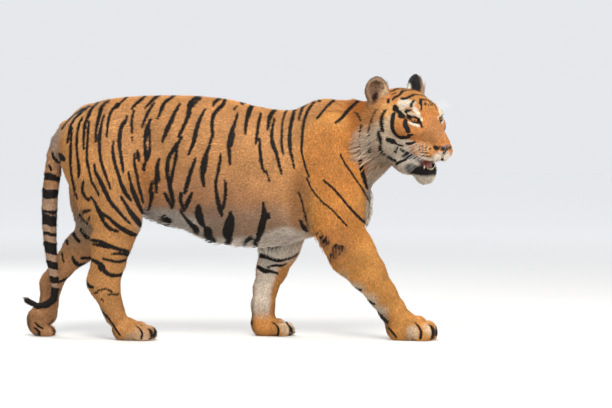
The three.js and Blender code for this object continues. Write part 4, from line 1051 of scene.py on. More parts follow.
def flowAt(points, normals, weights):
    head = intoHead(points)
    side = np.sign(head[:, 1])
    flow = np.zeros_like(points)
    for name, way in lieOf.items():
        flow += np.multiply.outer(weights[name], np.array(way, float))
    onLegs = sum(weights[name] for name in legNames)
    low = smoothStep(90, 50, points[:, 2]) * onLegs
    flow += low[:, None] * np.array([1.2, 0, 0.6])
    tailEnd = weights["tail"] * smoothStep(-724, -760, points[:, 0]) * smoothStep(200, 160, points[:, 2])
    flow += tailEnd[:, None] * np.array([-1.2, 0, 1.2])
    # On the head the hair runs from the nose back over the crown, out across the cheeks and down the ruff.
    back = np.stack([-np.ones(len(points)), 0.5 * side * smoothStep(0, 60, np.abs(head[:, 1])),
                     0.15 - 1.1 * smoothStep(-10, -130, head[:, 2])], axis=1)
    ruff = smoothStep(-60, -110, head[:, 0]) * smoothStep(10, -40, head[:, 2])
    back += ruff[:, None] * np.array([0.2, 0, -0.8])
    muzzle = smoothStep(40, 90, head[:, 0]) * smoothStep(-70, -90, head[:, 2])
    even = np.ones(len(points))
    back += muzzle[:, None] * np.stack([0.2 * even, 0.5 * side, -0.2 * even], axis=1)
    flow += ((weights["head"] + weights["jaw"])[:, None] * back) @ headTurn.T
    up = np.array([-0.35, 0, 0.95])
    flow += ((weights["earRight"] + weights["earLeft"])[:, None] * up) @ headTurn.T
    sway = np.stack([wobble(points, 70, 21), wobble(points, 70, 22), wobble(points, 70, 23)], axis=1)
    flow += 0.16 * sway
    flow -= normals * (flow * normals).sum(axis=1)[:, None]
    return flow / (np.linalg.norm(flow, axis=1)[:, None] + 1e-6)


# Hair length and width of a tuft and tufts to a square metre, by region, and then in smaller zones.
tuftSize = {"trunk": (19, 3.3, 80000), "neck": (22, 3.2, 84000), "foreRight": (15, 3.2, 90000),
            "foreLeft": (15, 3.2, 90000), "hindRight": (16, 3.4, 86000), "hindLeft": (16, 3.4, 86000),
            "head": (12, 2.6, 150000), "jaw": (14, 2.8, 130000), "earRight": (11, 2.4, 150000),
            "earLeft": (11, 2.4, 150000), "tail": (18, 3.6, 90000)}
tuftZones = {"feet": (10, 2.8, 130000), "face": (7, 1.9, 300000), "ruff": (26, None, None),
             "belly": (34, None, 50000)}


def tuftsAt(points, weights):
    size = blendOf(tuftSize, weights)
    head = intoHead(points)
    mirrored = folded(head)
    onHead = weights["head"] + weights["jaw"]
    feet = smoothStep(110, 50, points[:, 2]) * (weights["tail"] < 0.3)
    face = zoneWeight(mirrored, (70, 30, -60), (120, 90, 110)) * onHead
    ruff = zoneWeight(mirrored, (-110, 110, -110), (60, 70, 110)) * (onHead > 0.4)
    belly = zoneWeight(points, (20, 0, 380), (420, 150, 60))
    for name, where in (("feet", feet), ("face", face), ("ruff", ruff), ("belly", belly)):
        for n, aim in enumerate(tuftZones[name]):
            if aim is not None:
                size[:, n] += where * (aim - size[:, n])
    # Nothing grows on the soles, on the lids' rims, under the nose pad or inside the mouth.
    bare = (points[:, 2] < skinMesh["sole"] + 3).astype(float)
    eye = near(mirrored, (6, 66, 0), 24)
    bare = np.maximum(bare, eye * smoothStep(5.0, 2.0, np.abs(eyeRim(mirrored))))
    bare = np.maximum(bare, zoneWeight(mirrored, (124, 0, -76), (30, 34, 22), 0.15))
    bare = np.maximum(bare, mouthInside(head))
    size[:, 2] *= 1 - np.clip(bare, 0, 1)
    return size


# How far a place on the head is from the rim of the opening of the lids, from both sides.
def eyeRim(mirrored):
    form, _, _ = almond(1)
    return form(*mirrored.T)


def mouthInside(head):
    turn = turnMatrix(pitch=jawPose["pitch"])
    inJaw = (head - np.array(jawPose["at"])) @ turn
    gap = zoneWeight(head, (58, 0, -152), (92, 44, 22), 0.15)
    gap = np.maximum(gap, zoneWeight(inJaw, (152, 0, -58), (84, 31, 28), 0.15))
    return gap


skinPoints, skinFaces, skinNormals = makeSkin(False)
skinWeights = regionWeights(skinPoints)
skin = meshObject("skin", toWorld(skinPoints), skinFaces)
unwrap(skin)
store(skin, "ground", coloursAt(skinPoints, skinNormals, skinWeights), "FLOAT_COLOR")
store(skin, "stripe", stripesAndShadeAt(skinPoints, skinNormals, skinWeights))
print("skin made:", len(skinPoints), "points")

# The coat is rooted on a bed with the skin's own shape and closer points, which isn't kept.
bedPoints, bedFaces, bedNormals = makeSkin(True)
bedWeights = regionWeights(bedPoints)
bed = meshObject("bed", toWorld(bedPoints), bedFaces)
unwrap(bed)

flow = flowAt(bedPoints, bedNormals, bedWeights)
lengths, widths, density = tuftsAt(bedPoints, bedWeights).T
stripe = stripesAndShadeAt(bedPoints, bedNormals, bedWeights)
# A tuft may cross a whole stripe, so what lies under its middle and its tip is kept with it.
middle, tip = (stripesAndShadeAt(bedPoints + flow * part * lengths[:, None], bedNormals, bedWeights)
               for part in (0.45, 0.9))
stripe, middle, tip = (np.clip(value, -16, 16) for value in (stripe, middle, tip))
store(bed, "ground", coloursAt(bedPoints, bedNormals, bedWeights), "FLOAT_COLOR")
for name, values in (("stripe", stripe), ("ahead", 4 * middle - 3 * stripe - tip),
                     ("beyond", 2 * (stripe - 2 * middle + tip)), ("hairLength", lengths / 1000),
                     ("hairWidth", widths / 1000), ("here", np.zeros(len(bedPoints)))):
    store(bed, name, values)
store(bed, "lie", flow, "FLOAT_VECTOR")
store(bed, "outward", bedNormals, "FLOAT_VECTOR")
print("markings and lie of the coat worked out")


# Finishes: each is built from nodes, and reads Object coordinates or the piece's own attributes.
class Finish:
    def __init__(self, name, **settings):
        self.material = bpy.data.materials.new(name)
        self.material.use_nodes = True
        self.nodes, self.links = self.material.node_tree.nodes, self.material.node_tree.links
        self.shader = self.nodes["Principled BSDF"]
        for socket, value in settings.items():
            self.shader.inputs[socket].default_value = value

    def add(self, kind, *inputs, **settings):
        node = self.nodes.new(kind)
        for key, value in settings.items():
            setattr(node, key, value)
        for socket, value in zip(node.inputs, inputs):
            self.feed(socket, value)
        return node

    def feed(self, socket, value):
        if isinstance(value, bpy.types.NodeSocket):
            self.links.new(value, socket)
        else:
            socket.default_value = value

    def attribute(self, name):
        return self.add("ShaderNodeAttribute", attribute_name=name)

    def maths(self, operation, *inputs):
        return self.add("ShaderNodeMath", *inputs, operation=operation).outputs[0]

    def noise(self, scale, detail=3.0):
        node = self.add("ShaderNodeTexNoise")
        self.feed(node.inputs["Vector"], self.add("ShaderNodeTexCoord").outputs["Object"])
        node.inputs["Scale"].default_value, node.inputs["Detail"].default_value = scale, detail
        return node.outputs["Fac"]

    def ramp(self, value, low, high, start=0.0, end=1.0, smooth=True):
        node = self.add("ShaderNodeMapRange", value, low, high, start, end)
        node.interpolation_type = "SMOOTHSTEP" if smooth else "LINEAR"
        return node.outputs["Result"]

    def mix(self, factor, a, b):
        node = self.add("ShaderNodeMix", data_type="RGBA")
        for socket, value in (("Factor_Float", factor), ("A_Color", a), ("B_Color", b)):
            self.feed(next(s for s in node.inputs if s.identifier == socket), value)
        return next(s for s in node.outputs if s.identifier == "Result_Color")

    def bump(self, height, distance, strength=1.0):
        node = self.add("ShaderNodeBump")
        node.inputs["Strength"].default_value, node.inputs["Distance"].default_value = strength, distance
        self.feed(node.inputs["Height"], height)
        return node.outputs["Normal"]


coatLook = {"black": (0.011, 0.008, 0.0065), "mottle": 0.16, "rough": 0.62, "specular": 0.18, "edge": 1.2,
            "broken": 2.6, "stray": 0.6, "roundness": 0.3}


def coatFinish(name, tufts):
    finish = Finish(name, Roughness=coatLook["rough"])
    finish.shader.inputs["Specular IOR Level"].default_value = coatLook["specular"]
    ground = finish.attribute("ground").outputs["Color"]
    stripe = finish.attribute("stripe").outputs["Fac"]
    patches = finish.ramp(finish.noise(9.0, 4.0), 0.3, 0.7, 1 - coatLook["mottle"], 1 + coatLook["mottle"])
    strands = finish.ramp(finish.noise(140.0, 2.0), 0.3, 0.7, 0.8, 1.2)
    tone = finish.maths("MULTIPLY", patches, strands)
    ragged = finish.maths("SUBTRACT", finish.noise(95.0, 3.0), 0.5)
    edge = finish.maths("ADD", stripe, finish.maths("MULTIPLY", ragged, coatLook["broken"]))
    if tufts:
        chance = finish.attribute("tone").outputs["Fac"]
        along = finish.attribute("along").outputs["Fac"]
        tone = finish.maths("MULTIPLY", tone, finish.ramp(chance, 0.0, 1.0, 0.84, 1.16, smooth=False))
        tone = finish.maths("MULTIPLY", tone, finish.ramp(along, 0.0, 0.8, 0.8, 1.06))
        ahead, beyond = (finish.attribute(name).outputs["Fac"] for name in ("ahead", "beyond"))
        slope = finish.maths("ADD", ahead, finish.maths("MULTIPLY", along, beyond))
        edge = finish.maths("ADD", edge, finish.maths("MULTIPLY", along, slope))
        stray = finish.ramp(chance, 0.0, 1.0, -coatLook["stray"], coatLook["stray"], smooth=False)
        edge = finish.maths("ADD", edge, stray)
    dark = finish.ramp(edge, -coatLook["edge"], coatLook["edge"], 1.0, 0.0)
    scaled = finish.add("ShaderNodeVectorMath", ground, operation="SCALE")
    finish.feed(scaled.inputs["Scale"], tone)
    colour = finish.mix(dark, scaled.outputs[0], (*coatLook["black"], 1))
    finish.feed(finish.shader.inputs["Base Color"], colour)
    if tufts:  # shaded mostly as the skin under them
        normal = finish.add("ShaderNodeNewGeometry").outputs["Normal"]
        outward = finish.attribute("outward").outputs["Vector"]
        share = (coatLook["roundness"],) * 3
        soft = finish.add("ShaderNodeVectorMath", normal, share, operation="MULTIPLY").outputs[0]
        both = finish.add("ShaderNodeVectorMath", soft, outward, operation="ADD").outputs[0]
        unit = finish.add("ShaderNodeVectorMath", both, operation="NORMALIZE").outputs[0]
        finish.feed(finish.shader.inputs["Normal"], unit)
    else:
        finish.feed(finish.shader.inputs["Normal"], finish.bump(finish.noise(420.0, 4.0), 0.0012))
    return finish.material


def plainFinish(name, dark, light, scale, rough, bumpScale=600.0, bumpDepth=0.0004):
    finish = Finish(name, Roughness=rough)
    spots = finish.ramp(finish.noise(scale, 5.0), 0.35, 0.65)
    finish.feed(finish.shader.inputs["Base Color"], finish.mix(spots, (*dark, 1), (*light, 1)))
    finish.feed(finish.shader.inputs["Normal"], finish.bump(finish.noise(bumpScale, 3.0), bumpDepth))
    return finish.material


def hornFinish(name, root, tip, rough):
    finish = Finish(name, Roughness=rough)
    along = finish.attribute("along").outputs["Fac"]
    wave = finish.maths("MULTIPLY", finish.maths("SUBTRACT", finish.noise(90.0, 4.0), 0.5), 0.5)
    shade = finish.ramp(finish.maths("ADD", along, wave), 0.1, 0.9)
    finish.feed(finish.shader.inputs["Base Color"], finish.mix(shade, (*root, 1), (*tip, 1)))
    finish.feed(finish.shader.inputs["Normal"], finish.bump(finish.noise(500.0, 2.0), 0.0002))
    return finish.material


eyeLook = {"iris": 14.5, "pupil": 3.7, "amber": (0.13, 0.034, 0.004), "gold": (0.34, 0.11, 0.012),
           "rim": (0.02, 0.008, 0.004), "white": (0.03, 0.018, 0.012), "yaw": 27, "pitch": -4}


def eyeFinish():
    finish = Finish("eyeFinish", Roughness=0.16)
    finish.shader.inputs["Specular IOR Level"].default_value = 0.25
    finish.shader.inputs["Coat Weight"].default_value = 0.2
    finish.shader.inputs["Coat Roughness"].default_value = 0.03
    away = finish.attribute("fromGaze").outputs["Fac"]
    turned = finish.attribute("aroundGaze").outputs["Fac"]
    rays = finish.add("ShaderNodeTexNoise", noise_dimensions="1D")
    rays.inputs["Scale"].default_value, rays.inputs["Detail"].default_value = 9.0, 6.0
    finish.feed(rays.inputs["W"], turned)
    streak = finish.ramp(rays.outputs["Fac"], 0.35, 0.65)
    iris = finish.mix(streak, (*eyeLook["amber"], 1), (*eyeLook["gold"], 1))
    inner = finish.ramp(away, eyeLook["pupil"], eyeLook["pupil"] + 4, 0.55, 0.0)
    iris = finish.mix(inner, iris, (0.26, 0.2, 0.05, 1))
    outer = finish.ramp(away, eyeLook["iris"] - 2.6, eyeLook["iris"] + 0.3)
    ball = finish.mix(outer, iris, (*eyeLook["rim"], 1))
    white = finish.ramp(away, eyeLook["iris"] + 0.6, eyeLook["iris"] + 2.4)
    ball = finish.mix(white, ball, (*eyeLook["white"], 1))
    pupil = finish.ramp(away, eyeLook["pupil"] - 0.4, eyeLook["pupil"] + 0.5, 1.0, 0.0)
    finish.feed(finish.shader.inputs["Base Color"], finish.mix(pupil, ball, (0.002, 0.002, 0.002, 1)))
    return finish.material


skin.data.materials.append(coatFinish("skinFinish", False))
tuftFinish = coatFinish("coatFinish", True)
print("coat finishes made")


# The coat: tufts strewn over the skin, each lying along the hair's own way.
# A lock is a closed three-sided blade along x, through stations of (x, rise, width), ending in a point.
def lockMesh(name, spine, width):
    points, faces, along = [], [], []
    for x, z, size in spine[:-1]:
        points += [(x, -size * width / 2, z), (x, size * width / 2, z), (x, 0, z + size * 0.22)]
        along += [x] * 3
    points.append((spine[-1][0], 0, spine[-1][1]))
    along.append(1)
    for r in range(len(spine) - 2):
        a, b = 3 * r, 3 * r + 3
        for i, j in ((0, 1), (1, 2), (2, 0)):
            faces += [(a + j, a + i, b + i), (a + j, b + i, b + j)]
    last, tip = 3 * (len(spine) - 2), len(points) - 1
    faces += [(last + 1, last, tip), (last + 2, last + 1, tip), (last, last + 2, tip), (0, 1, 2)]
    lock = meshObject(name, points, faces)
    store(lock, "along", along)
    store(lock, "spot", [(p[0], p[1] + 0.5, 0) for p in points], "FLOAT_VECTOR")
    return lock


coatShape = {"lift": 0.3, "spread": 0.28, "longLift": 0.24, "longSpread": 0.3, "longWidth": 0.0022,
             "patch": 0.003, "clear": 0.0004, "quick": 0.15}  # clear of the floor, in metres
shortTuft = lockMesh("shortTuft", [(0, 0, 1), (1, 0.0, 0)], 1.0)
longLock = lockMesh("longLock", [(0, 0, 0.8), (0.3, 0.55, 1.0), (0.65, 0.7, 0.7), (1, 0.35, 0)], 1.0)


def coatTree(name, tuft):
    tree = bpy.data.node_groups.new(name, "GeometryNodeTree")
    face = tree.interface
    face.new_socket("Geometry", in_out="INPUT", socket_type="NodeSocketGeometry")
    for label, kind in (("Density", "Float"), ("Seed", "Int"), ("Lift", "Float"), ("Spread", "Float")):
        face.new_socket(label, in_out="INPUT", socket_type="NodeSocket" + kind)
    face.new_socket("Material", in_out="INPUT", socket_type="NodeSocketMaterial")
    face.new_socket("Geometry", in_out="OUTPUT", socket_type="NodeSocketGeometry")
    nodes, links = tree.nodes, tree.links

    def add(kind, **settings):
        node = nodes.new(kind)
        for key, value in settings.items():
            setattr(node, key, value)
        return node

    def named(label, kind="FLOAT"):
        node = add("GeometryNodeInputNamedAttribute", data_type=kind)
        node.inputs["Name"].default_value = label
        return next(s for s in node.outputs if s.enabled and s.name == "Attribute")

    def maths(operation, a, b):
        node = add("ShaderNodeMath", operation=operation)
        for socket, value in zip(node.inputs, (a, b)):
            if isinstance(value, bpy.types.NodeSocket):
                links.new(value, socket)
            else:
                socket.default_value = value
        return node.outputs[0]

    def chance(low, high, seed):
        node = add("FunctionNodeRandomValue", data_type="FLOAT")
        floats = [s for s in node.inputs if s.enabled]
        for socket in floats:
            if socket.name == "Min":
                socket.default_value = low
            elif socket.name == "Max":
                socket.default_value = high
            elif socket.name == "Seed":
                socket.default_value = seed
        return next(s for s in node.outputs if s.enabled)

    def keep(geometry, label, value, kind="FLOAT", domain="POINT"):
        node = add("GeometryNodeStoreNamedAttribute", data_type=kind, domain=domain)
        links.new(geometry, node.inputs["Geometry"])
        node.inputs["Name"].default_value = label
        links.new(value, next(s for s in node.inputs if s.enabled and s.name == "Value"))
        return node.outputs["Geometry"]

    given, result = add("NodeGroupInput"), add("NodeGroupOutput")
    strewn = add("GeometryNodeDistributePointsOnFaces", distribute_method="RANDOM")
    links.new(given.outputs["Geometry"], strewn.inputs["Mesh"])
    links.new(maths("MULTIPLY", given.outputs["Density"], named("here")), strewn.inputs["Density"])
    links.new(given.outputs["Seed"], strewn.inputs["Seed"])
    points = keep(strewn.outputs["Points"], "tone", chance(0, 1, 5))
    lie, outward = named("lie", "FLOAT_VECTOR"), named("outward", "FLOAT_VECTOR")
    stand = add("FunctionNodeAlignRotationToVector", axis="Z")
    links.new(outward, stand.inputs["Vector"])
    lay = add("FunctionNodeAlignRotationToVector", axis="X", pivot_axis="Z")
    links.new(stand.outputs[0], lay.inputs["Rotation"])
    links.new(lie, lay.inputs["Vector"])
    raised = add("FunctionNodeRotateRotation", rotation_space="LOCAL")
    links.new(lay.outputs[0], raised.inputs["Rotation"])
    turn = add("ShaderNodeCombineXYZ")
    links.new(maths("MULTIPLY", given.outputs["Spread"], chance(-1, 1, 11)), turn.inputs["Z"])
    lift = maths("MULTIPLY", given.outputs["Lift"], chance(-1.5, -0.4, 12))
    links.new(lift, turn.inputs["Y"])
    links.new(maths("MULTIPLY", given.outputs["Spread"], chance(-1, 1, 13)), turn.inputs["X"])
    toTurn = add("FunctionNodeEulerToRotation")
    links.new(turn.outputs[0], toTurn.inputs[0])
    links.new(toTurn.outputs[0], raised.inputs["Rotate By"])
    source = add("GeometryNodeObjectInfo")
    source.inputs["Object"].default_value = tuft
    size = add("ShaderNodeCombineXYZ")
    length = maths("MULTIPLY", named("hairLength"), chance(0.7, 1.25, 14))
    width = maths("MULTIPLY", named("hairWidth"), chance(0.75, 1.3, 15))
    links.new(length, size.inputs["X"])
    links.new(width, size.inputs["Y"])
    links.new(width if tuft is shortTuft else maths("MULTIPLY", length, 0.3), size.inputs["Z"])
    placedTufts = add("GeometryNodeInstanceOnPoints")
    links.new(points, placedTufts.inputs["Points"])
    links.new(source.outputs["Geometry"], placedTufts.inputs["Instance"])
    links.new(raised.outputs[0], placedTufts.inputs["Rotation"])
    links.new(size.outputs[0], placedTufts.inputs["Scale"])
    real = add("GeometryNodeRealizeInstances")
    links.new(placedTufts.outputs[0], real.inputs[0])
    scaled = add("ShaderNodeVectorMath", operation="SCALE")
    links.new(named("spot", "FLOAT_VECTOR"), scaled.inputs[0])
    scaled.inputs["Scale"].default_value = coatShape["patch"]
    onSkin = add("ShaderNodeVectorMath", operation="ADD")
    links.new(named("OFBake", "FLOAT_VECTOR"), onSkin.inputs[0])
    links.new(scaled.outputs[0], onSkin.inputs[1])
    baked = keep(real.outputs[0], "OFBake", onSkin.outputs[0], "FLOAT2", "CORNER")
    finished = add("GeometryNodeSetMaterial")
    links.new(baked, finished.inputs["Geometry"])
    links.new(given.outputs["Material"], finished.inputs["Material"])
    links.new(finished.outputs[0], result.inputs[0])
    return tree


def grown(name, tree, share, **settings):
    bed.data.attributes["here"].data.foreach_set("value", np.asarray(share, np.float32))
    modifier = bed.modifiers.new(name, "NODES")
    modifier.node_group = tree
    sockets = {s.name: s.identifier for s in tree.interface.items_tree if s.in_out == "INPUT"}
    for label, value in settings.items():
        modifier[sockets[label]] = value
    ready = bed.evaluated_get(bpy.context.evaluated_depsgraph_get())
    mesh = bpy.data.meshes.new_from_object(ready)
    bed.modifiers.remove(modifier)
    for spare in ("here", "spot", "lie", "hairLength", "hairWidth"):
        if spare in mesh.attributes:
            mesh.attributes.remove(mesh.attributes[spare])
    places = np.empty(3 * len(mesh.vertices), np.float32)
    mesh.vertices.foreach_get("co", places)
    places[2::3] = np.maximum(places[2::3], coatShape["clear"])
    mesh.vertices.foreach_set("co", places)
    mesh.name = name
    piece = bpy.data.objects.new(name, mesh)
    scene.collection.objects.link(piece)
    print(name, "grown:", len(mesh.polygons), "faces")
    return piece


# The coat is grown in pieces; this is how much of each place belongs to each.
def patchShares(points, weights):
    head = intoHead(points)
    x = points[:, 0]
    middle = smoothStep(-260, -220, x)
    left = smoothStep(-10, 10, points[:, 1])
    trunk, onHead = weights["trunk"], weights["head"] + weights["jaw"]
    face = smoothStep(-40, -20, head[:, 0])
    return {
        "coatFace": onHead * face,
        "coatHead": onHead * (1 - face) + weights["earRight"] + weights["earLeft"],
        "coatNeck": weights["neck"],
        "coatRight": trunk * middle * (1 - left),
        "coatLeft": trunk * middle * left,
        "coatRump": trunk * (1 - middle) + weights["tail"],
        **{"coat" + name[0].upper() + name[1:]: weights[name] for name in legNames},
    }


shortTree, longTree = coatTree("shortCoat", shortTuft), coatTree("longCoat", longLock)


# Long hair stands out of the coat: place, radii, length, locks to a square metre. The head's is on both
# sides.
longHair = [
    ((-134, 156, -158), (34, 60, 70), 58, 13000),  # ruff
    ((-100, 110, -190), (50, 50, 44), 44, 16000),
    ((70, 0, -244), (60, 46, 26), 15, 22000),  # chin
]
longBody = [
    ((20, 0, 372), (380, 120, 30), 40, 7000),  # belly
    ((-280, 0, 470), (100, 120, 60), 40, 6000),  # groin
    ((300, -190, 380), (60, 70, 110), 26, 9000),  # behind each elbow
    ((70, 190, 380), (60, 70, 110), 26, 9000),
    ((540, 0, 560), (40, 90, 130), 34, 8000),  # breast
    ((-600, 0, 520), (60, 200, 120), 32, 7000),  # back of the thighs
]


def longShares(points, weights):
    head = intoHead(points)
    mirrored = folded(head)
    onHead = np.clip(weights["head"] + weights["jaw"] + weights["neck"], 0, 1)
    count, length = np.zeros(len(points)), np.full(len(points), 30.0)
    zones = []
    for table, places, share in ((longHair, mirrored, onHead), (longBody, points, 1 - onHead)):
        zones += [(zoneWeight(places, at, radii) * share, reach, many) for at, radii, reach, many in table]
    for side, word in ((-1, "Right"), (1, "Left")):
        inEar = intoEar(head, side) * [1, side * -1, 1]
        zones.append((zoneWeight(inEar, (10, 32, -16), (34, 14, 40)) * weights["ear" + word], 30, 30000))
    for weight, reach, many in zones:
        length = np.where(weight * many > count, reach * (0.6 + 0.4 * weight), length)
        count = np.maximum(count, weight * many)
    bare = np.maximum(mouthInside(head), points[:, 2] < 60)
    return count * (1 - np.clip(bare, 0, 1)), length


coatPieces = []
thinned = 1.0
for seed, (name, share) in enumerate(patchShares(bedPoints, bedWeights).items()):
    coatPieces.append(grown(name, shortTree, share * density * thinned, Density=1.0, Seed=seed,
                            Material=tuftFinish, Lift=coatShape["lift"], Spread=coatShape["spread"]))

count, reach = longShares(bedPoints, bedWeights)
onNeck = np.clip(bedWeights["neck"] + bedWeights["head"], 0, 1)
# The ruff's long hair is pale, without the stripes under it.
for name, values in (("stripe", stripe + 20 * onNeck), ("hairLength", reach / 1000),
                     ("hairWidth", np.full(len(reach), coatShape["longWidth"]))):
    bed.data.attributes[name].data.foreach_set("value", values.astype(np.float32))
coatPieces.append(grown("coatLongHair", longTree, count * thinned, Density=1.0, Seed=40, Material=tuftFinish,
                        Lift=coatShape["longLift"], Spread=coatShape["longSpread"]))


# Small pieces of the face and feet.
def fineMesh(steps, low, high, cell):
    axes = [np.arange(l, h, cell, dtype=np.float32) for l, h in zip(low, high)]
    grid = openvdb.FloatGrid(background=farAway)
    grid.copyFromArray(onGrid(steps, axes))
    corners, quads = grid.convertToQuads(isovalue=0.0)
    points = settled(corners.astype(float) * cell + np.array(low, float), steps, 0.0)
    faces = [list(map(int, quad)) for quad in quads]
    return relaxed(points, faces, steps, 0.0, rounds=1), faces


def fromHead(points):
    return np.asarray(points, float) @ headTurn.T + np.array(headPose["at"])


def fromJaw(points):
    turn = turnMatrix(pitch=jawPose["pitch"])
    return fromHead(np.asarray(points, float) @ turn.T + np.array(jawPose["at"]))


noseForms = {
    "pad": (mass((127, 0, -68), (19, 28, 15), pitch=20), 1),
    "wings": (bothSides(mass((119, 26, -74), (20, 14, 13), pitch=20, yaw=-34)), 8),
    "stem": (mass((134, 0, -90), (9, 11, 14), pitch=24), 8),
}
noseHollows = [
    (bothSides(mass((138, 18, -78), (15, 10, 7.5), pitch=22, roll=-20)), 3),  # nostrils
    (bothSides(mass((123, 34, -73), (20, 9, 7), pitch=20, yaw=-38)), 3),  # their slits
    (mass((150, 0, -86), (12, 1.6, 14)), 3),  # groove in the middle
]


def makeNose():
    steps = [(shape, over, melted) for shape, over in noseForms.values()]
    steps += [(shape, over, carved) for shape, over in noseHollows]
    points, faces = fineMesh(steps, (88, -46, -116), (160, 46, -40), 1.6)
    nose = meshObject("nosePad", toWorld(fromHead(points)), faces)
    # The nostrils' hollows are painted near black as shade. The pad's edges are dark in their own colour.
    hollow = np.min([form(*points.T) for (form, *_), _ in noseHollows], axis=0)
    outer = np.maximum(smoothStep(21, 27, np.abs(points[:, 1])), smoothStep(-85, -92, points[:, 2]))
    store(nose, "hollow", np.maximum(smoothStep(6.0, 1.5, hollow), outer))
    finish = Finish("noseFinish", Roughness=0.42)
    blotch = finish.ramp(finish.noise(70.0, 5.0), 0.42, 0.62)
    skinTone = finish.mix(blotch, (0.26, 0.1, 0.06, 1), (0.15, 0.06, 0.04, 1))
    # Painted shade in the nostrils, and the pad's own dark edges.
    deep = finish.attribute("hollow").outputs["Fac"]
    finish.feed(finish.shader.inputs["Base Color"], finish.mix(deep, skinTone, (0.012, 0.008, 0.007, 1)))
    pebbles = finish.add("ShaderNodeTexVoronoi")
    finish.feed(pebbles.inputs["Vector"], finish.add("ShaderNodeTexCoord").outputs["Object"])
    pebbles.inputs["Scale"].default_value = 620.0
    finish.feed(finish.shader.inputs["Normal"], finish.bump(pebbles.outputs["Distance"], 0.0006, 0.7))
    nose.data.materials.append(finish.material)
    return nose


def makeTongue():
    forms = [(mass((112, 0, -74), (92, 29, 13), pitch=-3), 1, melted),
             (mass((196, 0, -73), (20, 24, 8), pitch=14), 14, melted),
             (mass((150, 0, -56), (84, 2.2, 8), pitch=-2), 6, carved)]
    points, faces = fineMesh(forms, (10, -40, -100), (224, 40, -48), 2.6)
    tongue = meshObject("tongueFlesh", toWorld(fromJaw(points)), faces)
    finish = plainFinish("tongueFinish", (0.16, 0.05, 0.045), (0.3, 0.1, 0.085), 60.0, 0.4, 900.0, 0.0006)
    tongue.data.materials.append(finish)
    return tongue


# Blender lists a sphere's faces in an order that changes from run to run, so they are sorted.
def eyeBall(side):
    body = bmesh.new()
    bmesh.ops.create_uvsphere(body, u_segments=64, v_segments=40, radius=1.0)
    local = np.array([v.co[:] for v in body.verts])
    faces = sorted([v.index for v in f.verts] for f in body.faces)
    body.free()
    local = local[:, [2, 0, 1]] * eyeShape["radius"]
    gaze = {"yaw": side * eyeLook["yaw"], "pitch": eyeLook["pitch"]}
    away = np.hypot(local[:, 1], local[:, 2])
    bulge = smoothStep(eyeLook["iris"] + 1, 2, away) * (local[:, 0] > 0)
    away = np.where(local[:, 0] > 0, away, 40)
    around = np.arctan2(local[:, 2], local[:, 1])
    local[:, 0] += 1.6 * bulge
    points = local @ turnMatrix(**gaze).T + [0, side * eyeShape["spread"], 0]
    ball = meshObject("eyeRight" if side < 0 else "eyeLeft", toWorld(fromHead(points)), faces)
    store(ball, "fromGaze", away)
    store(ball, "aroundGaze", around)
    return ball


# A tapered, bent horn along x, put in its place by the given function.
def horn(name, length, radius, bend, place, sides=14, rings=12):
    points, faces, along = [], [], []
    for r in range(rings):
        t = r / rings
        size = radius * (1 - t) ** 0.62
        for s in range(sides):
            turn = 2 * math.pi * s / sides
            points.append((length * t, size * 0.82 * math.cos(turn), size * math.sin(turn) - bend * t * t))
            along.append(t)
    points += [(length, 0, -bend), (0, 0, 0)]
    along += [1, 0]
    tip, base = rings * sides, rings * sides + 1
    for s in range(sides):
        after = (s + 1) % sides
        for r in range(rings - 1):
            a, b = r * sides + s, r * sides + after
            faces.append((a, b, b + sides, a + sides))
        faces += [((rings - 1) * sides + s, (rings - 1) * sides + after, tip), (after, s, base)]
    piece = meshObject(name, toWorld(place(np.array(points))), faces)
    store(piece, "along", along)
    return piece


def joined(name, parts):
    bpy.ops.object.select_all(action="DESELECT")
    for part in parts:
        part.select_set(True)
    bpy.context.view_layer.objects.active = parts[0]
    bpy.ops.object.join()
    parts[0].name = parts[0].data.name = name
    return parts[0]


# Puts a horn at a turned place of the frame that home() leads from.
def rooted(home, turn, at):
    return lambda points: home(points @ turn.T + at)


teeth = {
    "upper": {"at": (108, 27, -104), "length": 38, "radius": 7.5, "pitch": 96, "bend": 5},
    "lower": {"at": (214, 28, -86), "length": 22, "radius": 6, "pitch": -94, "bend": -3},
    "incisors": {"upper": (124, -118, 10), "lower": (226, -78, 9), "across": (-15, -9, -3, 3, 9, 15)},
}


def makeTeeth():
    enamel = hornFinish("toothFinish", (0.5, 0.36, 0.16), (0.76, 0.68, 0.5), 0.25)
    pieces = []
    for row, home in (("upper", fromHead), ("lower", fromJaw)):
        tooth = teeth[row]
        for side, word in ((-1, "Right"), (1, "Left")):
            at = np.array([tooth["at"][0], side * tooth["at"][1], tooth["at"][2]])
            turn = turnMatrix(pitch=tooth["pitch"])
            fang = horn(row + "Canine" + word, tooth["length"], tooth["radius"], tooth["bend"],
                        rooted(home, turn, at))
            pieces.append((fang, f"{row}_canine_{word.lower()}"))
    small = []
    for row, home in (("upper", fromHead), ("lower", fromJaw)):
        forward, up, length = teeth["incisors"][row]
        for across in teeth["incisors"]["across"]:
            at = np.array([forward - across * across * 0.03, across, up])
            turn = turnMatrix(pitch=90 if row == "upper" else -90)
            small.append(horn("incisor", length, 3.0, 0, rooted(home, turn, at), sides=8, rings=5))
    incisors = joined("incisors", small)
    for piece in [fang for fang, _ in pieces] + [incisors]:
        piece.data.materials.append(enamel)
    return pieces, incisors


clawShape = {"length": 26, "radius": 6, "bend": 7, "height": 34}
clawReach = {"foreRight": ((646, -104, -soleFlat), -3, lambda toe: (toe[1] + 14) * 1.08, 1),
             "foreLeft": ((100, 108, -soleFlat), 4, lambda toe: (toe[1] + 16) * 0.94, 0.96),
             "hindRight": ((-446, -104, -soleFlat), -3, lambda toe: (toe[1] + 16) * 0.95, 0.88),
             "hindLeft": ((-780, 108, -soleFlat), 3, lambda toe: 29 - abs(toe[0]) * 0.25, 0.88)}


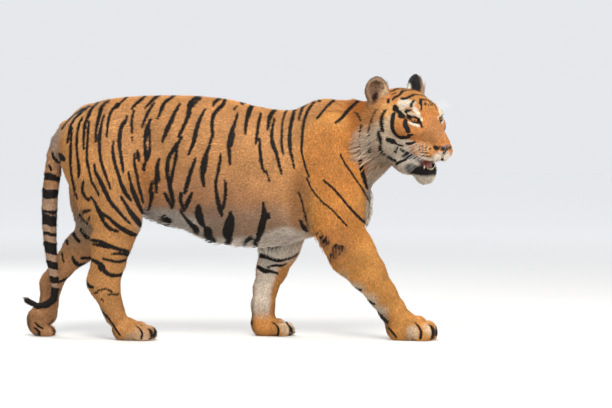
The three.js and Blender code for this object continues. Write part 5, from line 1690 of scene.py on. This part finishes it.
def makeClaws():
    keratin = hornFinish("clawFinish", (0.05, 0.035, 0.025), (0.34, 0.27, 0.2), 0.35)
    pieces = []
    for paw, (at, yaw, reach, width) in clawReach.items():
        end, side = ("fore", "hind")[paw.startswith("hind")], ("left", "right")[paw.endswith("Right")]
        for n, toe in enumerate(toeRow):
            turn = turnMatrix(yaw=toe[0] * 0.12, pitch=14)
            spot = np.array([reach(toe), toe[0] * width, clawShape["height"]])
            onPaw = rooted(np.asarray, turnMatrix(yaw=yaw), np.array(at))
            claw = horn(f"claw{paw[0].upper()}{paw[1:]}{n + 1}", clawShape["length"], clawShape["radius"],
                        clawShape["bend"], rooted(onPaw, turn, spot), sides=12, rings=10)
            claw.data.materials.append(keratin)
            pieces.append((claw, f"claw_{end}_{side}_{n + 1}"))
    return pieces


whiskerShape = {"rows": 4, "perRow": 6, "length": (56, 100), "thick": 0.5, "droop": 1.1, "brows": 5,
                "browLength": 62, "browThick": 0.4}


def makeWhiskers():
    rng = np.random.default_rng(7)
    parts = []
    steps = bodySteps(True)
    for side in (-1, 1):
        for row in range(whiskerShape["rows"]):
            for n in range(whiskerShape["perRow"]):
                start = np.array([[106 - 10 * n - 3 * (row % 2), side * (52 - 1.5 * n), -84 - 10 * row]])
                root = settled(fromHead(start), steps, coatDepth["head"], passes=6)[0]
                root = intoHead(root[None])[0]
                way = np.array([0.05 - 0.16 * n, side * 0.9, -0.1 - 0.2 * row]) + rng.normal(size=3) * 0.08
                way /= np.linalg.norm(way)
                length = rng.uniform(*whiskerShape["length"]) * (1 - 0.06 * abs(n - 2))
                drop = np.array([-0.55, 0, -0.85]) * whiskerShape["droop"] * length
                spine = [root + way * length * t + drop * t * t for t in np.linspace(-0.02, 1, 12)]
                parts.append(thread(fromHead(spine), whiskerShape["thick"]))
        for n in range(whiskerShape["brows"]):
            start = np.array([[-20 + 9 * n, side * 60, 42.0]])
            root = intoHead(settled(fromHead(start), steps, coatDepth["head"], passes=6))[0]
            way = np.array([0.5, side * (0.3 + 0.1 * n), 0.9])
            way /= np.linalg.norm(way)
            drop, length = np.array([-10, side * 20, -24]), whiskerShape["browLength"]
            spine = [root + way * length * t + drop * t * t for t in np.linspace(-0.02, 1, 10)]
            parts.append(thread(fromHead(spine), whiskerShape["browThick"]))
    points, faces = [], []
    for spot, face in parts:
        faces += [[i + len(points) for i in f] for f in face]
        points += list(spot)
    whiskers = meshObject("whiskers", toWorld(np.array(points)), faces)
    finish = plainFinish("whiskerFinish", (0.72, 0.68, 0.6), (0.86, 0.83, 0.77), 30.0, 0.4)
    whiskers.data.materials.append(finish)
    return whiskers


def thread(spine, thick, sides=5):
    spine = np.array(spine)
    points, faces = [], []
    for i, spot in enumerate(spine[:-1]):
        along = spine[i + 1] - spine[max(i - 1, 0)]
        along /= np.linalg.norm(along)
        across = np.cross(along, [0.3, 0.2, 0.9])
        across /= np.linalg.norm(across)
        over = np.cross(along, across)
        size = thick * (1 - 0.85 * i / (len(spine) - 1))
        for s in range(sides):
            turn = 2 * math.pi * s / sides
            points.append(spot + size * (math.cos(turn) * across + math.sin(turn) * over))
    points += [spine[-1], spine[0]]
    tip, base, rings = len(points) - 2, len(points) - 1, len(spine) - 1
    for s in range(sides):
        after = (s + 1) % sides
        for r in range(rings - 1):
            faces.append((r * sides + s, r * sides + after, (r + 1) * sides + after, (r + 1) * sides + s))
        faces += [((rings - 1) * sides + s, (rings - 1) * sides + after, tip), (after, s, base)]
    return points, faces


nose, tongue = makeNose(), makeTongue()
eyes = [eyeBall(-1), eyeBall(1)]
wetEye = eyeFinish()
for eye in eyes:
    eye.data.materials.append(wetEye)
fangs, incisors = makeTeeth()
claws = makeClaws()
whiskers = makeWhiskers()
print("nose, tongue, eyes, teeth, claws and whiskers made")

for spare in (shortTuft, longLock, bed):
    bpy.data.objects.remove(spare)

hardParts = ("claw", "eye", "nose", "tongue", "upper", "lower_c")
flesh = [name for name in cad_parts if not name.startswith(hardParts)]
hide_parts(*flesh)
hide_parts("nose")
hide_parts("tongue")
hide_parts("eye_right")
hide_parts("eye_left")
for piece, node in fangs + claws:
    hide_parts(node)
worn = {"coat": [skin, whiskers, *coatPieces], "nose": [nose], "tongue": [tongue], "eye": eyes,
        "tooth": [incisors, *[piece for piece, _ in fangs]], "claw": [piece for piece, _ in claws]}
for slotName, pieces in worn.items():
    for piece in pieces:
        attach(piece, "root")

# Camera, lamps and floor.
view = {"from": (280, -9000, 750), "towards": (280, 0, 536), "halfWidth": 1224, "sensor": 36}


def makeCamera():
    camera = bpy.data.cameras.new("sideView")
    place, aim = Vector(toWorld(view["from"])), Vector(toWorld(view["towards"]))
    camera.sensor_width = view["sensor"]
    camera.lens = view["sensor"] / 2 * (aim - place).length / (view["halfWidth"] / 1000)
    holder = bpy.data.objects.new("sideView", camera)
    scene.collection.objects.link(holder)
    holder.location = place
    holder.rotation_euler = (aim - place).to_track_quat("-Z", "Y").to_euler()
    scene.camera = holder


lamps = {
    "key": {"at": (0.2, -4.2, 4.6), "size": 3.2, "power": 420, "tint": (1.0, 0.97, 0.92)},
    "front": {"at": (4.2, -1.8, 2.6), "size": 2.6, "power": 120, "tint": (1.0, 0.98, 0.95)},
    "back": {"at": (-2.8, 3.4, 3.4), "size": 3.0, "power": 130, "tint": (0.95, 0.97, 1.0)},
}
stageLook = {"floor": (0.66, 0.65, 0.63), "distance": (1.0, 1.0, 1.0), "fade": (1.5, 12.0), "half": 60,
             "sky": (0.93, 0.95, 0.98), "skyPower": 0.85}


def makeLamps():
    for name, lamp in lamps.items():
        light = bpy.data.lights.new(name, "AREA")
        light.shape, light.size, light.energy, light.color = "DISK", lamp["size"], lamp["power"], lamp["tint"]
        holder = bpy.data.objects.new(name, light)
        scene.collection.objects.link(holder)
        holder.location = lamp["at"]
        holder.rotation_euler = (Vector((0, 0, 0.5)) - holder.location).to_track_quat("-Z", "Y").to_euler()
    world = bpy.data.worlds.new("softSky")
    world.use_nodes = True
    sky = world.node_tree.nodes["Background"]
    sky.inputs["Color"].default_value = (*stageLook["sky"], 1)
    sky.inputs["Strength"].default_value = stageLook["skyPower"]
    scene.world = world


def makeFloor():
    half = stageLook["half"]
    corners = [(-half, -half, 0), (half, -half, 0), (half, half, 0), (-half, half, 0)]
    floor = meshObject("paleFloor", corners, [(0, 1, 2, 3)], smooth=False)
    finish = Finish("paleFloor", Roughness=0.8)
    where = finish.add("ShaderNodeTexCoord").outputs["Object"]
    far = finish.add("ShaderNodeVectorMath", where, operation="LENGTH").outputs["Value"]
    fade = finish.ramp(far, *stageLook["fade"])
    tone = finish.mix(fade, (*stageLook["floor"], 1), (*stageLook["distance"], 1))
    finish.feed(finish.shader.inputs["Base Color"], tone)
    floor.data.materials.append(finish.material)


makeCamera()
makeLamps()
makeFloor()
scene.view_settings.view_transform = "Standard"
print("camera, lamps and floor made")

print("pieces placed")
